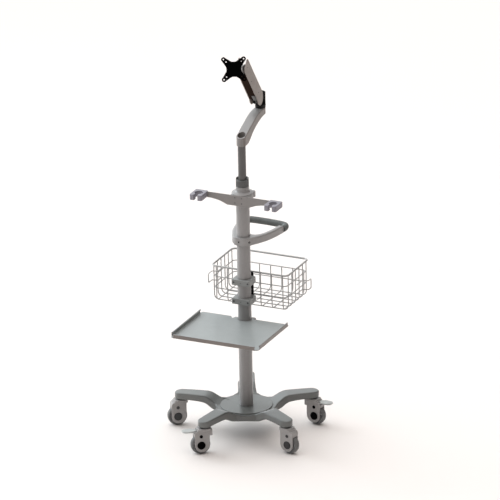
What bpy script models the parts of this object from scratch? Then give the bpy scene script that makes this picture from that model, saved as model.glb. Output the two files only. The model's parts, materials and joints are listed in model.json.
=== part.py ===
"""Rolling patient-monitor stand: five-caster base, column, tray, wire basket, handle and sprung monitor arm."""

import math

import bmesh
import bpy
from mathutils import Matrix, Vector

# Driving dimensions, in millimetres. Z is up, -Y is the front, the column axis is X = Y = 0.
HUB_R = 136.0
HUB_TOP = 148.0
HUB_LOW = 109.0
SWIVEL_R = 346.0
ARM_ANGLES = {"a": 185.4, "b": 257.4, "c": 329.4, "d": 41.4, "e": 113.4}
TRAIL_ANGLES = {"a": 216.0, "b": 218.0, "c": -13.0, "d": -8.0, "e": 150.0}
BRAKED = ("b", "d")

WHEEL_R = 50.0
TRAIL = 24.0
WHEEL_HALF = 16.0
WHEEL_SIDES = 18
FORK_HALF = 25.0
FORK_TOP = 123.0
FORK_BACK = -21.0
FORK_FRONT = 57.0
FORK_FOOT_R = 39.0
HEAD_PLATE_TOP = 136.6
WHEEL_ROOM_R = 54.5
WHEEL_ROOM_HALF = 18.4
AXLE_HOLE_R = 6.4
PEDAL_HALF = 15.0
STEM_R = 8.0

COLUMN_R = 34.0
COLUMN_BORE = 30.0
COLUMN_LOW = 148.3
COLUMN_TOP = 1290.0
POLE_R = 20.0
POLE_LOW = 985.0
POLE_TOP = 1558.0
LOCK_LOW = 1321.2
LOCK_TOP = 1357.0

BAR_LOW = 1232.0
BAR_TOP = 1286.0
HOLDER_X = 204.0

HANDLE_Z = 1035.0
HANDLE_HALF = 21.0
HANDLE_TURN = -2.5
GRIP_R = 17.0
GRIP_CORE_R = 8.5

BASKET_X = 208.0
BASKET_FRONT = 60.0
BASKET_BACK = 320.0
BASKET_TOP = 844.0
BASKET_LOW = 656.0
BASKET_INSET = 4.0
HOOK_OUT = 30.0
HOOK_HIGH = 785.0
HOOK_LOW = 737.0
WIRE_R = 2.3
RIM_R = 3.6

TRAY_X = 243.0
TRAY_FRONT = -374.0
TRAY_BACK = 8.0
TRAY_TOP = 609.0

ARM_RIM = 1590.0
KNUCKLE_Y = 230.0
KNUCKLE_Z = 1662.0
LIFT_Y = 186.0
LIFT_Z = 1728.0
HEAD_Y = 30.0
HEAD_Z = 1946.0
LINK_DROP = 22.0
COVER_HALF = 24.5
PAN_Y = -81.0
PAN_Z = 1978.0
PAN_ANGLE = 29.0
TILT_ANGLE = 18.0
TILT_OUT = 18.0
PLATE_OUT = 20.0
PLATE_THICK = 4.0
SEAT_R = 15.3
SEAT_DEPTH = 2.0

GAP = 0.3

# Name: (colour, roughness, metallic)
FINISHES = {
    "casting": ((0.36, 0.38, 0.38), 0.5, 0.0),
    "coat": ((0.72, 0.73, 0.73), 0.4, 0.0),
    "steel": ((0.42, 0.42, 0.43), 0.35, 1.0),
    "dark": ((0.10, 0.10, 0.10), 0.5, 0.0),
    "black": ((0.02, 0.02, 0.02), 0.45, 0.0),
    "grip": ((0.12, 0.13, 0.13), 0.7, 0.0),
    "holder": ((0.50, 0.50, 0.56), 0.45, 0.0),
    "wheel": ((0.55, 0.56, 0.57), 0.5, 0.0),
    "tread": ((0.07, 0.07, 0.07), 0.8, 0.0),
    "wire": ((0.55, 0.57, 0.57), 0.35, 0.6),
    "pole": ((0.22, 0.21, 0.20), 0.4, 0.4),
}


def clear_scene():
    for obj in list(bpy.data.objects):
        bpy.data.objects.remove(obj, do_unlink=True)


def new_collection(name):
    made = bpy.data.collections.new(name)
    bpy.context.scene.collection.children.link(made)
    return made


clear_scene()
STAND = new_collection("monitor_stand")
CUTTERS = new_collection("cutters")


def empty(name, at=(0, 0, 0), turn=(0, 0, 0), parent=None):
    made = bpy.data.objects.new(name, None)
    STAND.objects.link(made)
    made.location = Vector(at) * 0.001
    made.rotation_euler = [math.radians(a) for a in turn]
    made.parent = parent
    return made


ROOT = empty("stand_frame")


def finish(obj, kind):
    colour, rough, metal = FINISHES[kind]
    made = bpy.data.materials.new(obj.name + "_" + kind)
    made.use_nodes = True
    shader = made.node_tree.nodes["Principled BSDF"]
    shader.inputs["Base Color"].default_value = (*colour, 1)
    shader.inputs["Roughness"].default_value = rough
    shader.inputs["Metallic"].default_value = metal
    made.diffuse_color = (*colour, 1)
    obj.data.materials.clear()
    obj.data.materials.append(made)


def shade(obj, angle=35):
    mesh = obj.data
    mesh.shade_smooth()
    mesh.set_sharp_from_angle(angle=math.radians(angle))


def place(obj, kind, parent=None, at=(0, 0, 0), turn=(0, 0, 0)):
    """Makes a built shape a visible part of the stand."""
    STAND.objects.link(obj)
    obj.parent = parent or ROOT
    obj.location = Vector(at) * 0.001
    obj.rotation_euler = [math.radians(a) for a in turn]
    finish(obj, kind)
    return obj


def from_bmesh(name, bm):
    mesh = bpy.data.meshes.new(name)
    bmesh.ops.recalc_face_normals(bm, faces=bm.faces[:])
    bm.to_mesh(mesh)
    bm.free()
    obj = bpy.data.objects.new(name, mesh)
    shade(obj)
    return obj


def welded_mesh(name, curve_object):
    mesh = bpy.data.meshes.new_from_object(curve_object)
    bm = bmesh.new()
    bm.from_mesh(mesh)
    bmesh.ops.remove_doubles(bm, verts=bm.verts[:], dist=1e-6)
    bpy.data.meshes.remove(mesh)
    old = curve_object.data
    bpy.data.objects.remove(curve_object)
    bpy.data.curves.remove(old)
    return bm


AXES = {
    "Z": Matrix.Identity(4),
    "X": Matrix(((0, 0, 1, 0), (1, 0, 0, 0), (0, 1, 0, 0), (0, 0, 0, 1))),
    "Y": Matrix(((1, 0, 0, 0), (0, 0, -1, 0), (0, 1, 0, 0), (0, 0, 0, 1))),
}


def prism(name, outline, low, high, axis="Z", soft=0.0, holes=()):
    """A flat outline pushed along an axis. Outline is XY for Z, YZ for X and XZ for Y."""
    if axis == "Y":
        low, high = -high, -low
    curve = bpy.data.curves.new(name, "CURVE")
    curve.dimensions = "2D"
    curve.fill_mode = "BOTH"
    for loop in (outline, *holes):
        spline = curve.splines.new("POLY")
        spline.points.add(len(loop) - 1)
        for point, (a, b) in zip(spline.points, loop):
            point.co = (a * 0.001, b * 0.001, 0, 1)
        spline.use_cyclic_u = True
    curve.extrude = (high - low) * 0.0005 - soft * 0.001
    if soft:
        curve.bevel_depth = soft * 0.001
        curve.bevel_resolution = 0
        curve.offset = -soft * 0.001
    made = bpy.data.objects.new(name, curve)
    bm = welded_mesh(name, made)
    bmesh.ops.translate(bm, vec=(0, 0, (high + low) * 0.0005), verts=bm.verts[:])
    bmesh.ops.transform(bm, matrix=AXES[axis], verts=bm.verts[:])
    return from_bmesh(name, bm)


def arc(centre, radius, start, end, steps):
    cx, cy = centre
    turn = [math.radians(start + (end - start) * i / steps) for i in range(steps + 1)]
    return [(cx + radius * math.cos(t), cy + radius * math.sin(t)) for t in turn]


def circle(centre, radius, steps=32):
    return arc(centre, radius, 0, 360, steps)[:-1]


def rounded(points, radius, steps=4):
    """The polygon with each corner turned into an arc. Radius is one number or one for each corner."""
    count = len(points)
    radii = radius if isinstance(radius, (list, tuple)) else [radius] * count
    out = []
    for i in range(count):
        here = Vector(points[i])
        back = (Vector(points[i - 1]) - here)
        ahead = (Vector(points[(i + 1) % count]) - here)
        room = min(back.length, ahead.length) * 0.49
        back.normalize()
        ahead.normalize()
        half = math.acos(max(-1, min(1, back.dot(ahead)))) / 2
        if radii[i] <= 0 or half > math.radians(88):
            out.append(tuple(here))
            continue
        cut = min(radii[i] / math.tan(half), room)
        r = cut * math.tan(half)
        middle = here + (back + ahead).normalized() * (r / math.sin(half))
        first = here + back * cut - middle
        last = here + ahead * cut - middle
        sweep = math.atan2(first.x * last.y - first.y * last.x, first.dot(last))
        for k in range(steps + 1):
            t = sweep * k / steps
            c, s = math.cos(t), math.sin(t)
            turned = Vector((first.x * c - first.y * s, first.x * s + first.y * c))
            out.append(tuple(middle + turned))
    return out


def block(name, low, high, soft=0.0, corner=0.0):
    """A box from two corners, with rounded plan corners and softened edges."""
    outline = [(low[0], low[1]), (high[0], low[1]), (high[0], high[1]), (low[0], high[1])]
    if corner:
        outline = rounded(outline, corner, 3)
    return prism(name, outline, low[2], high[2], soft=soft)


def lathe(name, profile, steps=32, ring=False):
    """A profile of (radius, height) turned about Z. A ring profile closes on itself."""
    mesh = bpy.data.meshes.new(name)
    verts = [(r * 0.001, 0, z * 0.001) for r, z in profile]
    edges = [(i, i + 1) for i in range(len(verts) - 1)]
    if ring:
        edges.append((len(verts) - 1, 0))
    mesh.from_pydata(verts, edges, [])
    obj = bpy.data.objects.new(name, mesh)
    CUTTERS.objects.link(obj)
    screw = obj.modifiers.new("turn", "SCREW")
    screw.axis = "Z"
    screw.angle = math.tau
    screw.steps = steps
    screw.render_steps = steps
    screw.use_merge_vertices = True
    screw.merge_threshold = 0.00001
    turned = bpy.data.meshes.new_from_object(obj.evaluated_get(bpy.context.evaluated_depsgraph_get()))
    bpy.data.objects.remove(obj)
    bpy.data.meshes.remove(mesh)
    bm = bmesh.new()
    bm.from_mesh(turned)
    bpy.data.meshes.remove(turned)
    bmesh.ops.remove_doubles(bm, verts=bm.verts[:], dist=1e-6)
    return from_bmesh(name, bm)


def cylinder(name, radius, low, high, steps=32, at=(0, 0)):
    return prism(name, circle(at, radius, steps), low, high)


def round_bar(name, points, radius, sides=6, cyclic=False):
    """A round bar along a path of points."""
    curve = bpy.data.curves.new(name, "CURVE")
    curve.dimensions = "3D"
    curve.bevel_depth = radius * 0.001
    curve.bevel_resolution = (sides - 4) // 2
    curve.use_fill_caps = not cyclic
    spline = curve.splines.new("POLY")
    spline.points.add(len(points) - 1)
    for point, co in zip(spline.points, points):
        point.co = (co[0] * 0.001, co[1] * 0.001, co[2] * 0.001, 1)
    spline.use_cyclic_u = cyclic
    made = bpy.data.objects.new(name, curve)
    return from_bmesh(name, welded_mesh(name, made))


def helper(obj):
    """Keeps a cutter or an operand out of sight."""
    CUTTERS.objects.link(obj)
    obj.hide_render = True
    obj.display_type = "WIRE"


def combine(obj, operation, others):
    """Joins, cuts or intersects, and leaves the result as one plain mesh."""
    CUTTERS.objects.link(obj)
    for i, other in enumerate(others):
        helper(other)
        step = obj.modifiers.new(operation.lower() + str(i), "BOOLEAN")
        step.operation = operation
        step.solver = "EXACT"
        step.object = other
    bpy.context.view_layer.update()
    graph = bpy.context.evaluated_depsgraph_get()
    mesh = bpy.data.meshes.new_from_object(obj.evaluated_get(graph))
    obj.modifiers.clear()
    old = obj.data
    name = old.name
    obj.data = mesh
    bpy.data.meshes.remove(old)
    mesh.name = name
    for other in others:
        used = other.data
        bpy.data.objects.remove(other)
        bpy.data.meshes.remove(used)
    CUTTERS.objects.unlink(obj)
    shade(obj)
    return obj


def cut(obj, *others):
    return combine(obj, "DIFFERENCE", others)


def join(obj, *others):
    return combine(obj, "UNION", others)


def polar(radius, angle):
    t = math.radians(angle)
    return radius * math.cos(t), radius * math.sin(t)


# Base: one casting with a round hub and five arms, each rising in a knee and ending over a caster.

# Distance from the axis, half width, top, underside, top edge chamfer
ARM_STATIONS = (
    (50, 60, 142, 113, 5),
    (122, 57, 143, 112, 5),
    (138, 52, 148, 111, 6),
    (150, 49, 152, 112, 7),
    (162, 46, 159, 115, 8),
    (178, 43.5, 169, 122, 9),
    (194, 41.5, 177, 133, 9),
    (212, 40, 181.5, 141, 9),
    (240, 38.5, 182, 145, 9),
    (300, 36, 180, 145, 8),
    (346, 34, 178, 143, 8),
)


def arm_ring(bm, r, half, top, low, soft):
    side = min(soft, half * 0.45)
    under = min(3.0, half * 0.3)
    outline = (
        (-half, low + under), (-half, top - soft), (-half + side, top), (half - side, top),
        (half, top - soft), (half, low + under), (half - under, low), (-half + under, low),
    )
    return [bm.verts.new((r * 0.001, y * 0.001, z * 0.001)) for y, z in outline]


def base_arm(name, angle):
    """Lofts one arm out along +X, then turns it to its place."""
    bm = bmesh.new()
    rings = [arm_ring(bm, *station) for station in ARM_STATIONS]
    last = ARM_STATIONS[-1]
    for lean in (28, 55, 80):
        t = math.radians(lean)
        drop = 4 * (1 - math.cos(t))
        reach = last[0] + last[1] * math.sin(t)
        rings.append(arm_ring(bm, reach, last[1] * math.cos(t), last[2] - drop, last[3] + drop / 2, 8))
    for a, b in zip(rings, rings[1:]):
        for i in range(8):
            bm.faces.new((a[i], a[(i + 1) % 8], b[(i + 1) % 8], b[i]))
    bm.faces.new(rings[0])
    bm.faces.new(rings[-1])
    bmesh.ops.rotate(bm, cent=(0, 0, 0), matrix=Matrix.Rotation(math.radians(angle), 3, "Z"), verts=bm.verts[:])
    return from_bmesh(name, bm)


def build_base():
    hub = lathe("base_casting", [(0, HUB_TOP), (HUB_R - 5, HUB_TOP), (HUB_R, HUB_TOP - 5),
                                 (HUB_R, HUB_LOW + 4), (HUB_R - 4, HUB_LOW), (0, HUB_LOW)], 40)
    join(hub, *[base_arm("arm_" + key, angle) for key, angle in ARM_ANGLES.items()])
    bores = [cylinder("stem_bore_" + key, STEM_R + GAP, 120, 168, 12, polar(SWIVEL_R, angle))
             for key, angle in ARM_ANGLES.items()]
    cut(hub, cylinder("bolt_bore", 6.5, 100, 160, 12), cylinder("bolt_recess", 22, 90, 121, 16), *bores)
    place(hub, "casting")
    bolt = lathe("base_bolt", [(0, 190), (6, 190), (6, 120.7), (12, 120.7), (12, 111), (0, 111)], 12)
    place(bolt, "steel")
    foot = lathe("column_foot", [(0, 208), (27, 208), (29.7, 205), (29.7, COLUMN_LOW), (6.4, COLUMN_LOW),
                                 (6.4, 194), (0, 194)], 24)
    place(foot, "steel")


# Casters, each built about its swivel axis with the wheel trailing along +X.

def fork_shape(key):
    """Two straight cheeks with round feet, a stepped plate on top and the swivel stem. A braked one has a rear block."""
    middle = (FORK_BACK + FORK_FRONT) / 2
    foot = arc((middle, 51), FORK_FOOT_R, 180, 360, 10)
    outline = [(FORK_BACK, FORK_TOP)] + foot + [(FORK_FRONT, 112), (FORK_FRONT - 6, FORK_TOP)]
    body = prism("fork_" + key, outline, -FORK_HALF, FORK_HALF, "Y", soft=2.5)
    head = block("head", (-29, -29, 121), (40, 29, HEAD_PLATE_TOP), soft=2, corner=14)
    join(body, head, cylinder("stem", STEM_R, 130, 166, 12))
    if key in BRAKED:
        join(body, block("brake_block", (-35, -22, 98), (-18, 22, 130), soft=2))
    slot = prism("slot", circle((TRAIL, WHEEL_R), WHEEL_ROOM_R, 20), -WHEEL_ROOM_HALF, WHEEL_ROOM_HALF, "Y")
    axle = prism("hole", circle((TRAIL, WHEEL_R), AXLE_HOLE_R, 12), -40, 40, "Y")
    cut(body, slot, axle)
    if key in BRAKED:
        room = PEDAL_HALF + 2 * GAP
        cut(body, block("pocket", (44.6, -room, 110), (80, room, 150)))
    return body


def pedal_shape(key):
    """The foot pedal of a braked caster, built about its own pivot."""
    tongue = rounded([(-3.5, -15), (10, -15), (12, -24), (67, -24), (67, 24), (12, 24), (10, 15), (-3.5, 15)],
                     [0, 0, 4, 20, 20, 4, 0, 0], 3)
    body = prism("pedal_" + key, tongue, 5, 11.5, soft=1.2)
    barrel = prism("barrel", circle((0, 0), 4.8, 12), -15, 15, "Y")
    web = block("web", (-4.5, -15, 0), (4.5, 15, 9))
    rib = block("rib", (14, -3, 2), (56, 3, 8))
    return join(body, barrel, web, rib)


def build_caster(key):
    x, y = polar(SWIVEL_R, ARM_ANGLES[key])
    frame = empty("swivel_" + key, (x, y, 0), (0, 0, TRAIL_ANGLES[key]), ROOT)
    place(fork_shape(key), "coat", frame)
    hub = empty("wheel_axis_" + key, (TRAIL, 0, 50), (90, 0, 0), frame)
    core = [(14, 17.5), (17, 7), (34, 7), (40, 14.5), (40, -14.5), (34, -7), (17, -7), (14, -17.5), (6.4, -17.5),
            (6.4, 17.5)]
    place(lathe("wheel_" + key, core, WHEEL_SIDES, ring=True), "wheel", hub)
    rim = WHEEL_R / math.cos(math.pi / WHEEL_SIDES)
    tread = [(40.4, 14.5), (45.5, WHEEL_HALF), (rim, 10), (rim, -10), (45.5, -WHEEL_HALF), (40.4, -14.5)]
    place(lathe("tyre_" + key, tread, WHEEL_SIDES, ring=True), "tread", hub)
    pin = [(0, 28.3), (20, 28.3), (21, 25.4), (6, 25.4), (6, -25.4), (21, -25.4), (20, -28.3), (0, -28.3)]
    place(lathe("axle_" + key, pin, 14), "black", hub)
    if key in BRAKED:
        pivot = empty("pedal_axis_" + key, (50, 0, 117), (0, 0, 0), frame)
        place(pedal_shape(key), "coat", pivot)


# Column and what is fixed to it.

def build_column():
    tube = [(COLUMN_R, COLUMN_TOP), (COLUMN_R, COLUMN_LOW), (COLUMN_BORE, COLUMN_LOW), (COLUMN_BORE, COLUMN_TOP)]
    place(lathe("column_tube", tube, 36, ring=True), "coat")
    outer = [(33, 1320.7), (33, 1303), (37.5, 1295.5), (52, 1291), (55, 1288), (55, 1262), (52, 1259), (39.5, 1259),
             (39.5, 1234), (20, 1234), (20, 1320.7)]
    head = lathe("column_head", outer, 32, ring=True)
    join(head, block("pad", (-48, -49.7, 1235), (48, -18, 1284)))
    cut(head, cylinder("seat", COLUMN_R + GAP, 1200, COLUMN_TOP + GAP, 36),
        cylinder("bush_seat", 24.1, 1280, 1340, 24), block("flat", (-70, -80, 1220), (70, -49.7, 1300)))
    place(head, "coat")
    bush = [(23.7, 1320.4), (23.7, 1290.7), (20.4, 1290.7), (20.4, 1320.4)]
    place(lathe("guide_bush", bush, 24, ring=True), "dark")


def build_crossbar():
    end = 169.7
    under = [(60, BAR_LOW), (78, 1239), (102, 1248), (138, 1254.5), (end, 1256)]
    outline = [(-x, z) for x, z in reversed(under)] + under + [(end, BAR_TOP), (-end, BAR_TOP)]
    screw_holes = [circle((x, z), 2.4, 8) for x in (-18, 18) for z in (1246, 1274)]
    bar = prism("cross_bar", outline, -55, -50, "Y", holes=screw_holes, soft=0.8)
    place(bar, "coat")
    for side, x in (("left", -HOLDER_X), ("right", HOLDER_X)):
        plan = [(x - 34, -37), (x - 34, -122), (x - 10, -122), (x + 10, -122), (x + 34, -122), (x + 34, -37)]
        body = prism("holder_" + side, rounded(plan, [8, 9, 0, 0, 9, 8], 2), 1256, BAR_TOP, soft=2.5)
        cut(body, cylinder("hole", 21, 1240, 1300, 20, (x, -80)),
            prism("mouth", [(x - 9, -80), (x - 9, -112), (x - 15, -140), (x + 15, -140), (x + 9, -112), (x + 9, -80)],
                  1240, 1300))
        place(body, "holder")


def both_sides(half):
    """A path from the right round to the left, from its right half that ends on X = 0."""
    return half + [(-x, y) for x, y in reversed(half[:-1])]


def build_handle():
    frame = empty("handle_frame", (0, 0, HANDLE_Z), (0, 0, HANDLE_TURN), ROOT)
    outer = [(121, 205), (115, 150), (106, 104), (93, 62), (78, 28), (63, 0), (50, -24), (30, -40), (0, -45)]
    inner = [(94, 205), (88, 150), (79, 106), (66, 68), (47, 43), (20, 38), (0, 37)]
    outline = both_sides(outer) + list(reversed(both_sides(inner)))
    ring = prism("handle_ring", rounded(outline, 4, 1), -HANDLE_HALF, HANDLE_HALF, soft=6)
    end = (113.5, 207)
    bend = [(115, 232), (107, 252), (90, 262), (56, 266), (0, 268)]
    core = both_sides([(107, 185), end] + bend)
    join(ring, round_bar("core", [(x, y, 0) for x, y in core], GRIP_CORE_R, sides=8))
    cut(ring, cylinder("bore", COLUMN_R + GAP, -40, 40, 36))
    place(ring, "coat", frame)
    sleeve = both_sides([end] + bend)
    grip = round_bar("handle_grip", [(x, y, 0) for x, y in sleeve], GRIP_R, sides=12)
    cut(grip, round_bar("lining", [(x, y, 0) for x, y in core], GRIP_CORE_R + 0.7, sides=8))
    place(grip, "grip", frame)


def build_clamps():
    for name, low, high in (("clamp_upper", 800, 830), ("clamp_lower", 699, 729)):
        body = block(name, (-50, -46, low), (50, 40, high), soft=2, corner=10)
        cut(body, cylinder("bore", COLUMN_R + GAP, low - 10, high + 10, 36),
            block("split_left", (-60, -1.2, low - 10), (-20, 1.2, high + 10)),
            *[prism("screw", circle((x, (low + high) / 2), 4.2, 8), -60, -41, "Y") for x in (-38, 0, 38)])
        place(body, "coat")
    plate = block("basket_bracket", (-31, 40.4, 694), (31, 46, 846), soft=0.8)
    for z in (716, 780):
        join(plate, block("hook", (-22, 45, z - 4), (22, 56.4, z + 4)))
    cut(plate, *[prism("hole", circle((x, z), 3.2, 8), 30, 60, "Y") for x in (-22, 22) for z in (756, 838)])
    place(plate, "black")


# Wire basket: rim, two rings, cross wires and long wires welded where they meet.

def ring_path(inset, z, corner):
    low = (-BASKET_X + inset, BASKET_FRONT + inset)
    high = (BASKET_X - inset, BASKET_BACK - inset)
    square = [low, (high[0], low[1]), high, (low[0], high[1])]
    return [(x, y, z) for x, y in rounded(square, corner, 2)]


def u_wire(name, fixed, along, low_end, high_end):
    """A wire that runs down one wall, across the floor and up the other."""
    bend = 26
    top = BASKET_TOP
    start, end = low_end + BASKET_INSET - 1, high_end - BASKET_INSET + 1
    a, b = low_end + BASKET_INSET, high_end - BASKET_INSET
    flat = [(start, top), (a, BASKET_LOW), (b, BASKET_LOW), (end, top)]
    path = rounded(flat, [0, bend, bend, 0], 2)
    if along == "Y":
        points = [(fixed, p, z) for p, z in path]
    else:
        points = [(p, fixed, z) for p, z in path]
    return round_bar(name, points, WIRE_R)


def hook_wire(side, root, bend, tip):
    """The bent wire on an end wall that accessories hang from, and the Y of its root, its bend and its tip."""
    near = BASKET_X - BASKET_INSET + WIRE_R
    out = near + HOOK_OUT
    knee = bend + 6 if tip > bend else bend - 6
    outline = [(near, root), (near, bend), (out, knee), (out, tip)]
    top = [(side * x, y, HOOK_HIGH) for x, y in outline]
    low = [(side * x, y, HOOK_LOW) for x, y in reversed(outline)]
    return round_bar("hook", top + low, WIRE_R)


def build_basket():
    rim = round_bar("basket", ring_path(0, BASKET_TOP, 26), RIM_R, cyclic=True)
    wires = []
    for z in (784, 723):
        wires.append(round_bar("ring", ring_path(BASKET_INSET + 3.4, z, 24), WIRE_R, cyclic=True))
    for i in range(7):
        wires.append(u_wire("cross", -183 + 61 * i, "Y", BASKET_FRONT, BASKET_BACK))
    for i in range(6):
        wires.append(u_wire("long", BASKET_FRONT + 22 + 43.2 * i, "X", -BASKET_X, BASKET_X))
    wires.append(hook_wire(1, 118, 158, 205))
    wires.append(hook_wire(-1, 171, 131, 84))
    join(rim, *wires)
    place(rim, "wire")


def build_tray():
    x = TRAY_X
    plan = [(-x, TRAY_BACK), (-x, TRAY_FRONT), (x, TRAY_FRONT), (x, TRAY_BACK)]
    tray = prism("shelf_tray", rounded(plan, [14, 18, 18, 14], 3), TRAY_TOP - 3, TRAY_TOP)
    lips = [block("lip_left", (-x, TRAY_FRONT + 24, TRAY_TOP - 3), (-x + 3, TRAY_BACK - 22, TRAY_TOP + 20)),
            block("lip_right", (x - 3, TRAY_FRONT + 24, TRAY_TOP - 3), (x, TRAY_BACK - 22, TRAY_TOP + 20)),
            block("lip_front", (-x + 20, TRAY_FRONT, TRAY_TOP - 3), (x - 20, TRAY_FRONT + 3, TRAY_TOP + 18))]
    join(tray, *lips)
    cut(tray, cylinder("notch", COLUMN_R + 2, 560, 660, 36))
    place(tray, "coat")
    under = TRAY_TOP - 3 - GAP
    plate = block("shelf_bracket", (-56, -190, under - 8), (56, -28, under), corner=10)
    ribs = [prism("rib", [(-28, under - 4), (-28, 575), (-180, under - 12), (-180, under - 4)], x - 3, x + 3, "X")
            for x in (-27, 27)]
    join(plate, block("collar", (-47, -29.5, 572), (47, 41, under), soft=2, corner=10), *ribs)
    cut(plate, cylinder("bore", COLUMN_R + GAP, 500, 700, 36))
    place(plate, "coat")


# Telescopic pole and the arm that it carries.

def build_pole():
    turn = empty("lock_axis", (0, 0, 0), (0, 0, 0), ROOT)
    lower = [(31, LOCK_TOP), (32.5, LOCK_TOP - 1.5), (32.5, LOCK_LOW + 4), (29.5, LOCK_LOW), (20.5, LOCK_LOW),
             (20.5, LOCK_TOP)]
    lock = lathe("lock_ring", lower, 28, ring=True)
    crown = arc((0, 0), 32, -8, 200, 12) + arc((0, 0), 26, 200, -8, 12)
    join(lock, prism("crown", crown, LOCK_TOP - 4, LOCK_TOP + 8, soft=1.2))
    place(lock, "dark", turn)
    pole = [(POLE_R, POLE_TOP), (POLE_R, POLE_LOW), (17, POLE_LOW), (17, POLE_TOP)]
    place(lathe("inner_pole", pole, 24, ring=True), "pole")
    slider = [(29.5, 1016), (29.5, 990), (POLE_R + 0.4, 990), (POLE_R + 0.4, 1016)]
    place(lathe("pole_slider", slider, 24, ring=True), "dark")
    cap = [(0, POLE_TOP + 4), (18, POLE_TOP + 4), (19.5, POLE_TOP + 2.5), (19.5, POLE_TOP + GAP),
           (16.6, POLE_TOP + GAP), (16.6, POLE_TOP - 14), (0, POLE_TOP - 14)]
    place(lathe("pole_cap", cap, 20), "dark")


def build_curved_arm():
    top = [(-34, ARM_RIM), (4, ARM_RIM), (22, 1601), (50, 1614), (82, 1629), (116, 1644), (150, 1655), (186, 1661),
           (212, KNUCKLE_Z), (262, KNUCKLE_Z)]
    low = [(262, 1628), (222, 1625), (190, 1620.5), (155, 1611), (122, 1598), (92, 1583), (66, 1565), (44, 1548),
           (30, 1540), (20, 1538), (-34, 1538)]
    side = prism("curved_arm", top + low, -40, 40, "X")
    half = 25.5
    plan = arc((0, 0), half, 180, 360, 12) + arc((0, KNUCKLE_Y), half, 0, 180, 12)
    combine(side, "INTERSECT", [prism("plan", plan, 1500, 1700)])
    roof = POLE_TOP + 4.4
    cut(side, cylinder("pole_seat", POLE_R + 0.5, 1500, roof, 24), cylinder("cup", 20.5, roof + 5, 1700, 24),
        cylinder("pin_seat", 9.5, 1640, 1700, 14, (0, KNUCKLE_Y)))
    place(side, "coat", turn_point("arm_axis", 0, 0))


def turn_point(name, y, z):
    return empty(name, (0, y, z), (0, 0, 0), ROOT)


def moved(obj, y, z):
    """Gives a shape made in the stand's frame an origin on its own pivot."""
    obj.data.transform(Matrix.Translation((0, -y * 0.001, -z * 0.001)))
    return obj


def build_knuckle():
    base = lathe("knuckle", [(0, 18), (24, 18), (26.5, 15), (26.5, 0.3), (9, 0.3), (9, -20), (0, -20)], 24)
    base.data.transform(Matrix.Translation((0, KNUCKLE_Y * 0.001, KNUCKLE_Z * 0.001)))
    wall = arc((0, KNUCKLE_Y), 26.5, 35, 145, 8) + arc((0, KNUCKLE_Y), 20, 145, 35, 8)
    side = rounded([(204, 1676), (244, 1676), (244, 1734), (204, LIFT_Z + 13), (LIFT_Y - 14, LIFT_Z + 13),
                    (LIFT_Y - 14, 1694), (194, 1694)], [0, 0, 0, 0, 12, 10, 0])
    join(base, prism("wall", wall, 1674, 1742), *arm_cheeks(side))
    cut(base, *pivot_holes(LIFT_Y, LIFT_Z))
    place(moved(base, KNUCKLE_Y, 0), "black", turn_point("knuckle_axis", KNUCKLE_Y, 0))


def arm_cheeks(side):
    return [prism("cheek", side, a, b, "X") for a, b in ((-12, -6.5), (6.5, 12))]


def pivot_holes(y, z):
    return [prism("pin_hole", circle((y, z), 5.4, 10), -40, 40, "X"),
            prism("link_hole", circle((y, z - LINK_DROP), 4.4, 10), -40, 40, "X")]


def along(distance, offset):
    """A point that far up the spring arm from its lower pivot, and that far to its upper side, as (Y, Z)."""
    start = Vector((LIFT_Y, LIFT_Z))
    direction = (Vector((HEAD_Y, HEAD_Z)) - start).normalized()
    normal = Vector((direction.y, -direction.x))
    return tuple(start + direction * distance + normal * offset)


def arm_plate(name, points, low, high, radii=0, soft=0.0):
    outline = rounded([along(*point) for point in points], radii, 3)
    return prism(name, outline, low, high, "X", soft=soft)


def arm_round(name, distance, offset, radius, low, high, steps=12):
    return prism(name, circle(along(distance, offset), radius, steps), low, high, "X")


def build_spring_arm():
    """The covers, the channel between them, its pins, the gas spring and the parallel link."""
    lift = turn_point("lift_axis", LIFT_Y, LIFT_Z)
    length = math.hypot(LIFT_Y - HEAD_Y, LIFT_Z - HEAD_Z)
    shell = [(-33, -14), (-25, -30), (-2, -37), (22, -31.5), (length + 16, -31.5), (length + 34, 33), (8, 33),
             (-17, 20), (-30, 4)]
    for side, sign in (("right", 1), ("left", -1)):
        low, high = sorted((sign * COVER_HALF, sign * (COVER_HALF - 4)))
        cover = arm_plate("arm_cover_" + side, shell, low, high, [8, 8, 8, 8, 14, 8, 10, 10, 10], 1.0)
        place(moved(cover, LIFT_Y, LIFT_Z), "coat", lift)
    outer = COVER_HALF - 4 - GAP
    channel = arm_plate("arm_channel", [(22, 29), (length - 40, 29), (length - 40, 25), (22, 25)], -outer, outer)
    wall = [(-15, -11), (-15, 11), (12, 29), (length - 24, 29), (length + 15, 12), (length + 15, -12),
            (length - 10, -24), (20, -24)]
    radii = [10, 10, 0, 0, 10, 10, 0, 0]
    join(channel, arm_plate("wall_right", wall, outer - 4, outer, radii),
         arm_plate("wall_left", wall, -outer, 4 - outer, radii))
    cut(channel, arm_round("low_hole", 0, 0, 5.4, -40, 40), arm_round("high_hole", length, 0, 5.4, -40, 40))
    place(moved(channel, LIFT_Y, LIFT_Z), "dark", lift)
    for name, distance in (("lower_pin", 0), ("upper_pin", length)):
        place(moved(arm_round(name, distance, 0, 5, -outer, outer), LIFT_Y, LIFT_Z), "steel", lift)
    spring = cut(strut("gas_spring", 62, 214, 9.5), strut("rod_bore", 50, 132, 4.5))
    place(moved(spring, LIFT_Y, LIFT_Z), "black", lift)
    place(moved(strut("gas_rod", 34, 96, 4), LIFT_Y, LIFT_Z), "steel", lift)


def strut(name, low, high, radius):
    start = along(low, 9)
    end = along(high, 9)
    return round_bar(name, [(0, *start), (0, *end)], radius, sides=12)


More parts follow.
